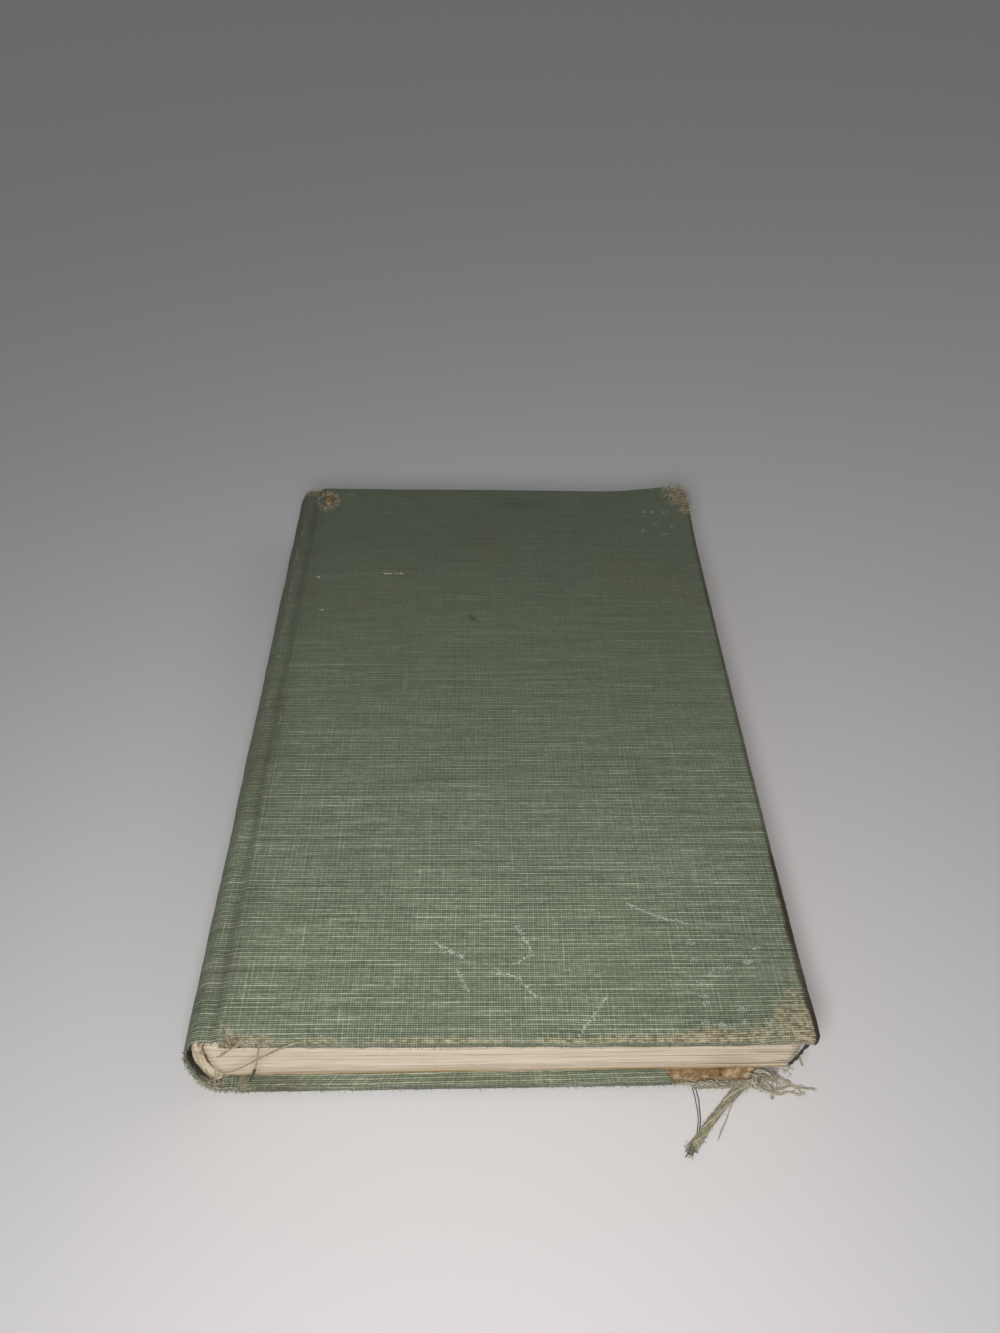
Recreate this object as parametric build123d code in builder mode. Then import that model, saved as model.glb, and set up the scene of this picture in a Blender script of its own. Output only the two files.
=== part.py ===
from build123d import *
import os
from math import atan2, cos, hypot, sin, tan

os.makedirs("parts", exist_ok=True)

# A worn hardback book lying on its back cover. The origin is the middle of the back cover's underside,
# +X runs from the spine to the fore-edge, +Y from the tail to the head and +Z up. Millimetres.

# Boards, cloth and endpapers
board_length = 196.3         # head to tail
board_width = 124.8          # spine edge to fore-edge
board_thickness = 2.4
cloth_thickness = 0.35
turn_in = 14.0               # cloth folded round onto the inside of a board
endpaper = 0.15              # thickness of a pastedown or a flyleaf
paste_margin = 3.0           # turn-in left bare round a pastedown
paste_relief = 0.02          # a pastedown's play round the step down from a turn-in

# The closed book
joint_height = 25.4          # over both covers at the boards' spine edges
fore_height = 22.1           # over both covers at the fore-edge
block_clearance = 0.1        # between a pastedown and the flyleaf that it faces
page_square = 2.65           # the covers' reach past the pages at head and tail
fore_square = 2.75           # and at the fore-edge
fore_swell = 0.7             # the fore-edge has lost its hollow, and swells outward by this

# Spine and joints
spine_reach = 8.9            # the spine's outermost line, from the covers' spine edges
spine_bulge = 5.75           # the cloth spine is half an oval, and this is its rise
spine_drop = 0.6             # the oval's ends, in from the covers' outer faces
joint_gap = 1.3              # from a cover's spine edge to the middle of its groove
groove_depth = 1.6           # below the cover's outer face
inlay_thickness = 0.9        # card strip behind the spine cloth
inlay_setback = 3.0          # the card's edges, in from the ends of the oval
hollow_depth = 1.2           # free space between the card and the lining
hollow_edge = 0.25           # the least that this space narrows to, at the card's edges
lining_thickness = 1.1       # paper lining of the pages' back, in several glued layers
lining_setback = 1.5         # its edges, in from the pages' shoulders
lining_inset = 0.8           # its ends, in from the ends of the pages
gauze_thickness = 0.4
gauze_inset = 18.0           # the gauze stops this far from the ends of the pages
block_rounding = 1.8         # rise of the pages' rounded back
shoulder_width = 1.6         # backing shoulder that each joint lies on
shoulder_height = 2.0
flyleaf_start = 0.4          # a flyleaf's spine edge, in from the shoulder's foot

# Damage, measured from the tail corner of the board that it is on
break_along_tail = 11.1      # lost corner of the back board
break_up_fore = 14.0
tear_along_tail = 30.2       # torn cloth beside it
tear_depth = 3.2
hole_size = (5.0, 5.5)       # worn hole in the front cloth, at the head end of the spine edge
hole_inset = (1.2, 4.6)      # its near sides, in from the edges of the board
corner_wear = 3.4            # bare corner of the front board, at the tail end of the spine edge
strip_width = 2.4            # frayed strip of cloth, trailing from the torn edge
strip_thickness = 0.7
strip_lift = 0.2             # the strip's underside, above the surface that the book lies on
strip_route = [(10.9, 0.15), (11.7, 2.6), (15.4, 5.6), (22.4, 12.4), (26.3, 14.6)]  # in from the fore-edge, out

# Worked out from the sizes above
cover_width = board_width + 2 * cloth_thickness
cover_length = board_length + 2 * cloth_thickness
cover_thickness = board_thickness + 2 * cloth_thickness
tilt = atan2(joint_height - fore_height, board_width)
spine_edge_x = -board_width / 2
page_length = cover_length - 2 * page_square
flyleaf_depth = cover_thickness + endpaper + block_clearance
page_depth = flyleaf_depth + endpaper
page_fore_x = cover_width / 2 - fore_square

# Each cover is drawn on its own outer face, with local x from the board's spine edge and local z outward.
front_face = Plane((spine_edge_x, 0, joint_height), x_dir=(cos(tilt), 0, -sin(tilt)), z_dir=(sin(tilt), 0, cos(tilt)))
back_face = Plane((spine_edge_x, 0, 0), x_dir=(1, 0, 0), z_dir=(0, 0, -1))


def under_front(x, depth):
    """Height at x of the surface that lies a depth inside the front cover's sloping outer face."""
    return joint_height - (x - spine_edge_x) * tan(tilt) - depth / cos(tilt)


def rectangle_between(x_min, x_max, length):
    """A rectangle centred along the book, for the sketch that is open."""
    with Locations(((x_min + x_max) / 2, 0)):
        Rectangle(x_max - x_min, length)


# Each cover is the same three pieces: a board, the cloth round it and the endpaper pasted inside.
# What is lost of one is a list of outlines, in the face's own x and y.


def make_board(face, lost=()):
    """A cover's board, under one thickness of cloth."""
    with BuildPart() as board:
        with BuildSketch(face.offset(-cloth_thickness)):
            rectangle_between(0, board_width, board_length)
            for outline in lost:
                Polygon(*outline, align=None, mode=Mode.SUBTRACT)
        extrude(amount=-board_thickness)
    return board


def make_cloth(face, torn=(), worn=()):
    """Cloth over a board's outside and edges, and turned in along three of them.

    It is torn away through the whole cover, or worn through on the outside only.
    """
    with BuildPart() as cloth:
        with BuildSketch(face):
            rectangle_between(-cloth_thickness, board_width + cloth_thickness, cover_length)
            for outline in torn:
                Polygon(*outline, align=None, mode=Mode.SUBTRACT)
        extrude(amount=-cover_thickness)
        with BuildSketch(face.offset(-cloth_thickness)):
            rectangle_between(0, board_width, board_length)
        extrude(amount=-board_thickness, mode=Mode.SUBTRACT)
        with BuildSketch(face.offset(-cover_thickness)):
            rectangle_between(-cloth_thickness, board_width - turn_in, board_length - 2 * turn_in)
        extrude(amount=cloth_thickness, mode=Mode.SUBTRACT)
        for outline in worn:
            with BuildSketch(face):
                Polygon(*outline, align=None)
            extrude(amount=-cloth_thickness, mode=Mode.SUBTRACT)
    return cloth


def make_pastedown(face, lost=()):
    """Endpaper pasted to the board, and stepping up over the turn-ins."""
    inner_length = board_length - 2 * turn_in - 2 * paste_relief
    inner_end = board_width - turn_in - paste_relief
    surface = face.offset(-cover_thickness - endpaper)
    with BuildPart() as pastedown:
        with BuildSketch(surface):
            rectangle_between(paste_margin, board_width - paste_margin, board_length - 2 * paste_margin)
            for outline in lost:
                Polygon(*outline, align=None, mode=Mode.SUBTRACT)
        extrude(amount=endpaper)
        with BuildSketch(surface):
            rectangle_between(paste_margin, inner_end, inner_length)
        extrude(amount=endpaper + cloth_thickness)
        with BuildSketch(surface):
            rectangle_between(paste_margin, inner_end - endpaper, inner_length - 2 * endpaper)
        extrude(amount=cloth_thickness, mode=Mode.SUBTRACT)
    return pastedown


# The back face's local y runs towards the tail, so the tail's edge of its board is at plus half the length.
tail = board_length / 2
past = 2.0  # how far an outline runs past the edge that it cuts
lost_corner = [
    (board_width - break_along_tail, tail + past),
    (board_width - 0.86 * break_along_tail, tail - 0.16 * break_up_fore),
    (board_width - 0.58 * break_along_tail, tail - 0.29 * break_up_fore),
    (board_width - 0.47 * break_along_tail, tail - 0.59 * break_up_fore),
    (board_width - 0.18 * break_along_tail, tail - 0.73 * break_up_fore),
    (board_width + past, tail - break_up_fore),
    (board_width + past, tail + past),
]
torn_cloth = [
    (board_width - tear_along_tail, tail + past),
    (board_width - 0.96 * tear_along_tail, tail - 0.5 * tear_depth),
    (board_width - 0.75 * tear_along_tail, tail - tear_depth),
    (board_width - 0.58 * tear_along_tail, tail - 0.8 * tear_depth),
    (board_width - 1.2 * break_along_tail, tail - 1.6 * tear_depth),
    (board_width - 0.3 * break_along_tail, tail - 1.05 * break_up_fore),
    (board_width + past, tail - 1.25 * break_up_fore),
    (board_width + past, tail + past),
]

# The front face's local y runs towards the head.
hole_x = hole_inset[0]
hole_y = tail - hole_inset[1]
worn_hole = [
    (hole_x, hole_y - 0.3 * hole_size[1]),
    (hole_x + 0.35 * hole_size[0], hole_y),
    (hole_x + hole_size[0], hole_y - 0.35 * hole_size[1]),
    (hole_x + 0.8 * hole_size[0], hole_y - hole_size[1]),
    (hole_x + 0.2 * hole_size[0], hole_y - 0.85 * hole_size[1]),
]
worn_corner = [
    (-past, -tail - past),
    (-past, -tail + 0.8 * corner_wear),
    (0.4 * corner_wear, -tail + 0.6 * corner_wear),
    (corner_wear, -tail - past),
]

front_board = make_board(front_face)
front_cloth = make_cloth(front_face, worn=[worn_hole, worn_corner])
front_pastedown = make_pastedown(front_face)
back_board = make_board(back_face, lost=[lost_corner])
back_cloth = make_cloth(back_face, torn=[torn_cloth])
back_pastedown = make_pastedown(back_face, lost=[lost_corner])

# The pages: one block with a rounded, backed spine and a swollen fore-edge, and a flyleaf on each side.
foot_x = -cover_width / 2 - spine_reach + cloth_thickness + inlay_thickness + hollow_depth
foot_x += lining_thickness + gauze_thickness + block_rounding + shoulder_width
tip_x = foot_x - shoulder_width
page_back_x = tip_x - block_rounding
tip_top = under_front(foot_x, page_depth) + shoulder_height
tip_bottom = page_depth - shoulder_height
spine_middle = (tip_top + tip_bottom) / 2

with BuildPart() as text_block:
    with BuildSketch(Plane.XZ):
        with BuildLine():
            page_top_fore = (page_fore_x, under_front(page_fore_x, page_depth))
            page_middle = (page_depth + page_top_fore[1]) / 2
            Polyline((page_fore_x, page_depth), (foot_x, page_depth), (tip_x, tip_bottom))
            ThreePointArc((tip_x, tip_bottom), (page_back_x, spine_middle), (tip_x, tip_top))
            Polyline((tip_x, tip_top), (foot_x, under_front(foot_x, page_depth)), page_top_fore)
            ThreePointArc(page_top_fore, (page_fore_x + fore_swell, page_middle), (page_fore_x, page_depth))
        make_face()
    extrude(amount=page_length / 2, both=True)


def make_flyleaf(face):
    """The loose half of an endpaper, lying on the pages."""
    with BuildPart() as flyleaf:
        with BuildSketch(face.offset(-page_depth)):
            rectangle_between(foot_x + flyleaf_start - spine_edge_x, page_fore_x - spine_edge_x, page_length)
        extrude(amount=endpaper)
    return flyleaf


front_flyleaf = make_flyleaf(front_face)
back_flyleaf = make_flyleaf(back_face)

# Behind the pages, from the inside out: gauze, paper lining, an open hollow, a card strip and the spine cloth.
# The pages' back is an arc, given by its rise over half a chord, and the cloth spine is half an oval.
page_half_chord = (tip_top - tip_bottom) / 2
page_radius = (page_half_chord**2 + block_rounding**2) / (2 * block_rounding)
page_centre = (page_back_x + page_radius, spine_middle)
lining_half_height = page_half_chord - lining_setback
ridge_x = -cover_width / 2 - spine_reach + spine_bulge
spine_half_height = joint_height / 2 - spine_drop
spine_centre = (ridge_x, joint_height / 2)


def curved_layer(centre, outer_radii, thickness, half_height):
    """The spine side of an oval ring, cut to a height, for the sketch that is open."""
    with Locations(centre):
        Ellipse(outer_radii[0], outer_radii[1])
        Ellipse(outer_radii[0] - thickness, outer_radii[1] - thickness, mode=Mode.SUBTRACT)
    with Locations((centre[0] - outer_radii[0], centre[1])):
        Rectangle(2 * outer_radii[0], 2 * half_height, mode=Mode.INTERSECT)


with BuildPart() as spine_gauze:
    with BuildSketch(Plane.XZ):
        gauze_radius = page_radius + gauze_thickness
        curved_layer(page_centre, (gauze_radius, gauze_radius), gauze_thickness, lining_half_height)
    extrude(amount=page_length / 2 - gauze_inset, both=True)

with BuildPart() as spine_lining:
    with BuildSketch(Plane.XZ):
        lining_radius = gauze_radius + lining_thickness
        curved_layer(page_centre, (lining_radius, lining_radius), lining_thickness, lining_half_height)
    extrude(amount=page_length / 2 - lining_inset, both=True)

with BuildPart() as spine_inlay:
    with BuildSketch(Plane.XZ):
        inlay_radii = (spine_bulge - cloth_thickness, spine_half_height - cloth_thickness)
        curved_layer(spine_centre, inlay_radii, inlay_thickness, spine_half_height - inlay_setback)
        with Locations(page_centre):
            Circle(lining_radius + hollow_edge, mode=Mode.SUBTRACT)
    extrude(amount=board_length / 2, both=True)


def joint_band(start, end, inward):
    """The corners of a straight band of cloth between two points, with its thickness on the inward side."""
    run = hypot(end[0] - start[0], end[1] - start[1])
    step_x = -inward * (end[1] - start[1]) / run * cloth_thickness
    step_z = inward * (end[0] - start[0]) / run * cloth_thickness
    return [start, end, (end[0] + step_x, end[1] + step_z), (start[0] + step_x, start[1] + step_z)]


groove_x = -cover_width / 2 - joint_gap
front_joint = joint_band((ridge_x, joint_height - spine_drop), (groove_x, joint_height - groove_depth), -1)
back_joint = joint_band((ridge_x, spine_drop), (groove_x, groove_depth), 1)

with BuildPart() as spine_cloth:
    with BuildSketch(Plane.XZ):
        curved_layer(spine_centre, (spine_bulge, spine_half_height), cloth_thickness, spine_half_height)
        Polygon(*front_joint, align=None)
        Polygon(*back_joint, align=None)
    extrude(amount=cover_length / 2, both=True)

# The torn cloth of the back cover trails off as one frayed strip, lying on the surface beside the book.
with BuildPart() as frayed_strip:
    with BuildSketch(Plane.XY.offset(strip_lift)):
        with BuildLine():
            Spline(*[(board_width / 2 - along, -tail - out) for along, out in strip_route])
        trace(line_width=strip_width)
    extrude(amount=strip_thickness)

pieces = {
    "text_block": text_block,
    "front_flyleaf": front_flyleaf,
    "back_flyleaf": back_flyleaf,
    "spine_gauze": spine_gauze,
    "spine_lining": spine_lining,
    "spine_inlay": spine_inlay,
    "spine_cloth": spine_cloth,
    "front_board": front_board,
    "front_cloth": front_cloth,
    "front_pastedown": front_pastedown,
    "back_board": back_board,
    "back_cloth": back_cloth,
    "back_pastedown": back_pastedown,
    "frayed_strip": frayed_strip,
}
for label, piece in pieces.items():
    piece.part.label = label
    export_step(piece.part, f"parts/{label}.step")
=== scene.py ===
"""The looks of a worn cloth-bound book that lies on its back cover.

Shapes are worked out in millimetres, in the shared frame: +X from the spine to the fore-edge, +Y from the
tail to the head and +Z up. Every piece stays where the CAD node is that it stands for.
"""

from math import asin, cos, pi, radians, sin

import bpy
import numpy as np
from mathutils import Matrix, Vector


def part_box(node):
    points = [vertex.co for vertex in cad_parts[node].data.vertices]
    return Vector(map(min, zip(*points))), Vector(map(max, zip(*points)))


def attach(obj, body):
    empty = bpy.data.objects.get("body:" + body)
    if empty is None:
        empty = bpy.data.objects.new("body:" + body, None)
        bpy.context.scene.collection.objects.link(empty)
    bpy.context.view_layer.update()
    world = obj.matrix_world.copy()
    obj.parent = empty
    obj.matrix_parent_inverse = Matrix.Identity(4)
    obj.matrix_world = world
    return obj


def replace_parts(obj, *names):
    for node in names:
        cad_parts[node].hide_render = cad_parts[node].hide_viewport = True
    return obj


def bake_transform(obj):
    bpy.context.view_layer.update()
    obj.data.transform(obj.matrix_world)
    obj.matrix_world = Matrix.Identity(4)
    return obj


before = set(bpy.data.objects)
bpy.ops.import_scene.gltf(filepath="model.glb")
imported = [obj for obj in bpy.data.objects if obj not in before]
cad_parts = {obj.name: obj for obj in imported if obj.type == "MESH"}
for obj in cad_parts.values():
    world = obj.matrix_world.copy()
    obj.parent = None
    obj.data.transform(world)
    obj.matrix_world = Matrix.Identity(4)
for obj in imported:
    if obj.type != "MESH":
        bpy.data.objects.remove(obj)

MM = 0.001


def corners(node):
    """Lowest and highest corner of a CAD node, in millimetres."""
    low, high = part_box(node)
    return np.array(low) / MM, np.array(high) / MM


def write_size():
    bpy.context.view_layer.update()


write_size()

# Sizes taken from the CAD model
cover_low, cover_high = corners("back_cloth")
half_width, half_length = cover_high[0], cover_high[1]
cover_depth = cover_high[2] - cover_low[2]
board_low = corners("back_board")[0]
cloth_depth = board_low[2]
front_low, front_high = corners("front_cloth")
tilt = asin((front_high[2] - front_low[2] - cover_depth) / (2 * half_width))
joint_x = board_low[0]
spine_low, spine_high = corners("spine_cloth")
joint_top = spine_high[2] + spine_low[2]
page_low, page_high = corners("text_block")
leaf_low, leaf_high = corners("back_flyleaf")
paste_high = corners("back_pastedown")[1]
lining_low, lining_high = corners("spine_lining")
page_depth = leaf_high[2]

# Sizes of the cloth and the pages that the boxes don't give
turn_in = 14.35
cloth_shell = 0.3
cloth_start = -61.3
shoulder_width, shoulder_height = 1.6, 2.0
spine_bulge = 5.75


# ---------------------------------------------------------------- numbers and meshes


def ease(t):
    """0 to 1 with a soft start and end."""
    t = np.clip(t, 0, 1)
    return t * t * (3 - 2 * t)


def noise(x, y, seed, octaves=3):
    """Smooth noise from about -1 to 1: random values at whole numbers, eased between them, in octaves."""
    table = np.random.default_rng(seed).uniform(-1, 1, (256, 256))
    total, weight = 0.0, 0.0
    for octave in range(octaves):
        fine_x, fine_y = x * 2**octave + 17.3 * octave, y * 2**octave + 5.1 * octave
        i, j = np.floor(fine_x).astype(int), np.floor(fine_y).astype(int)
        a, b = ease(fine_x - i), ease(fine_y - j)
        i, j = i % 256, j % 256
        k, m = (i + 1) % 256, (j + 1) % 256
        low = table[i, j] * (1 - a) + table[k, j] * a
        high = table[i, m] * (1 - a) + table[k, m] * a
        total = total + (low * (1 - b) + high * b) / 2**octave
        weight += 1 / 2**octave
    return 1.3 * total / weight


def grid_faces(rows, columns, closed=False):
    """Quads over a grid of points, row by row. A closed grid joins its last column to its first."""
    column = np.arange(columns if closed else columns - 1)
    row = np.arange(rows - 1)[:, None]
    here, there = row * columns + column, row * columns + (column + 1) % columns
    return np.stack([here, here + columns, there + columns, there], -1).reshape(-1, 4)


def add_mesh(name, points, faces, material, uv=None, masks=None, caps=(), flip=False, thickness=0,
             sharp=False):
    """A mesh object from points in millimetres.

    uv is in millimetres too, and masks are values from 0 to 1 by name. thickness makes a sheet of that many
    millimetres, inward from the faces.
    """
    points = np.asarray(points, float).reshape(-1, 3)
    used = np.unique(np.concatenate([faces.ravel(), *[np.asarray(cap) for cap in caps]]).astype(int))
    place = np.zeros(len(points), int)
    place[used] = np.arange(len(used))
    listed = place[faces][:, ::-1] if flip else place[faces]
    whole = listed.tolist() + [place[np.asarray(cap)][:: -1 if flip else 1].tolist() for cap in caps]
    mesh = bpy.data.meshes.new(name)
    mesh.from_pydata((points[used] * MM).tolist(), [], whole)
    if uv is not None:
        corner = np.empty(len(mesh.loops), np.int32)
        mesh.loops.foreach_get("vertex_index", corner)
        layer = mesh.uv_layers.new(name="flat")
        flat = np.asarray(uv, float).reshape(-1, 2)[used][corner]
        layer.data.foreach_set("uv", flat.ravel().astype(np.float32))
    for label, values in (masks or {}).items():
        attribute = mesh.attributes.new(label, "FLOAT", "POINT")
        attribute.data.foreach_set("value", np.asarray(values, float).ravel()[used].astype(np.float32))
    if not sharp:
        mesh.shade_smooth()
    mesh.materials.append(material)
    piece = bpy.data.objects.new(name, mesh)
    bpy.context.scene.collection.objects.link(piece)
    if thickness:
        solid = piece.modifiers.new("thickness", "SOLIDIFY")
        solid.thickness = thickness * MM
        solid.offset = -1
    return piece


def add_sheet(name, points, material, thickness, flip=False, keep=None, **details):
    """A sheet over a grid of points. keep tells which quads of the grid are there."""
    rows, columns = points.shape[:2]
    faces = grid_faces(rows, columns)
    if keep is not None:
        faces = faces[np.asarray(keep).ravel()]
    return add_mesh(name, points, faces, material, flip=flip, thickness=thickness, **details)


def add_strands(name, paths, radii, material, sides=4, tints=None, seed=0):
    """Thin tubes, tapering to a point at each end. paths holds one row of points for each strand.

    Each ring stands square to the path: two directions across it, turned through a circle.
    """
    paths = np.asarray(paths, float)
    count, steps = paths.shape[:2]
    along = np.gradient(paths, axis=1)
    along /= np.linalg.norm(along, axis=2, keepdims=True) + 1e-9
    spare = np.array([0.31, 0.17, 0.93])
    across = np.cross(along, spare)
    across /= np.linalg.norm(across, axis=2, keepdims=True) + 1e-9
    other = np.cross(along, across)
    angle = np.arange(sides) * 2 * pi / sides
    share = np.linspace(0, 1, steps)
    taper = np.minimum(1, np.minimum(share, 1 - share) * 12 + 0.02)
    size = (np.broadcast_to(np.reshape(radii, (-1, 1)), (count, steps)) * taper)[:, :, None, None]
    ring = np.cos(angle)[:, None] * across[:, :, None] + np.sin(angle)[:, None] * other[:, :, None]
    points = paths[:, :, None] + size * ring
    one = grid_faces(steps, sides, closed=True)
    faces = (one[None] + (np.arange(count) * steps * sides)[:, None, None]).reshape(-1, 4)
    if tints is None:
        tints = np.random.default_rng(seed).uniform(0, 1, count)
    tint = np.broadcast_to(np.reshape(tints, (-1, 1, 1)), (count, steps, sides))
    return add_mesh(name, points, faces, material, masks={"tint": tint}, flip=True)


def curve_through(points, steps):
    """A smooth path through a few points: each stretch is a cubic whose slopes come from its neighbours."""
    points = np.asarray(points, float)
    ends = np.vstack([2 * points[0] - points[1], points, 2 * points[-1] - points[-2]])
    spans = len(points) - 1
    t = np.linspace(0, spans, steps)
    i = np.minimum(t.astype(int), spans - 1)
    f = (t - i)[:, None]
    a, b, c, d = ends[i], ends[i + 1], ends[i + 2], ends[i + 3]
    return 0.5 * (2 * b + (c - a) * f + (2 * a - 5 * b + 4 * c - d) * f**2 + (3 * b - a - 3 * c + d) * f**3)


def hairs(roots, headings, lengths, curl, seed, steps=7, sag=0.15):
    """Paths of loose fibre ends: each leaves its root along its heading, and curls sideways and sags."""
    rng = np.random.default_rng(seed)
    roots, headings = np.asarray(roots, float), np.asarray(headings, float)
    count = len(roots)
    headings = headings / (np.linalg.norm(headings, axis=1, keepdims=True) + 1e-9)
    side = np.cross(headings, rng.normal(size=(count, 3)))
    side /= np.linalg.norm(side, axis=1, keepdims=True) + 1e-9
    t = np.linspace(0, 1, steps)[None, :, None]
    length = np.reshape(lengths, (-1, 1, 1)) * np.ones((count, 1, 1))
    bend = rng.uniform(0.1, curl, (count, 1, 1))
    wave = 0.06 * np.sin(rng.uniform(4, 12, (count, 1, 1)) * t)
    path = roots[:, None] + headings[:, None] * length * np.sin(bend * t) / bend
    path = path + side[:, None] * length * ((1 - np.cos(bend * t)) / bend + wave)
    path[..., 2:] -= length * sag * t**2
    return path


# ---------------------------------------------------------------- materials


def linear(colour):
    """A colour written as sRGB hex, as the linear values that a shader takes."""
    channels = [int(colour[i : i + 2], 16) / 255 for i in (1, 3, 5)]
    return tuple(c / 12.92 if c < 0.04045 else ((c + 0.055) / 1.055) ** 2.4 for c in channels) + (1.0,)


def make_material(name, build):
    """A material whose surface build(add) makes, where add places one node with its settings and inputs.

    stops are a colour ramp's places and colours, in order.
    """
    material = bpy.data.materials.new(name)
    material.use_nodes = True
    tree = material.node_tree
    tree.nodes.clear()

    def add(kind, inputs=None, output=0, stops=(), **settings):
        made = tree.nodes.new("ShaderNode" + kind)
        if stops:
            ends = zip(made.color_ramp.elements, (stops[0], stops[-1]))
            for element, (place, colour) in ends:
                element.position, element.color = place, linear(colour)
        for place, colour in stops[1:-1]:
            made.color_ramp.elements.new(place).color = linear(colour)
        for key, value in settings.items():
            setattr(made, key, value)
        for key, value in (inputs or {}).items():
            if isinstance(value, bpy.types.NodeSocket):
                tree.links.new(value, made.inputs[key])
            else:
                made.inputs[key].default_value = linear(value) if isinstance(value, str) else value
        return made.outputs[output]

    surface = build(add)
    end = tree.nodes.new("ShaderNodeOutputMaterial")
    tree.links.new(surface, end.inputs["Surface"])
    return material


# Settings of a Mix node of colours, where input 0 is the second one's share and 6 and 7 are the colours, and
# of noise on flat coordinates
COLOURS = {"output": 2, "data_type": "RGBA"}
FLAT = {"noise_dimensions": "2D"}


def bend_uv(add):
    """The piece's flat coordinates in millimetres, with threads that wander up to half a millimetre."""
    flat = add("UVMap", uv_map="flat")
    drift = add("TexNoise", {"Vector": flat, "Scale": 0.02, "Detail": 1.0}, output=1, **FLAT)
    centred = add("VectorMath", {0: drift, 1: (0.5, 0.5, 0.5)}, operation="SUBTRACT")
    scaled = add("VectorMath", {0: centred, "Scale": 1.0}, operation="SCALE")
    return add("VectorMath", {0: flat, 1: scaled}, operation="ADD")


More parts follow.
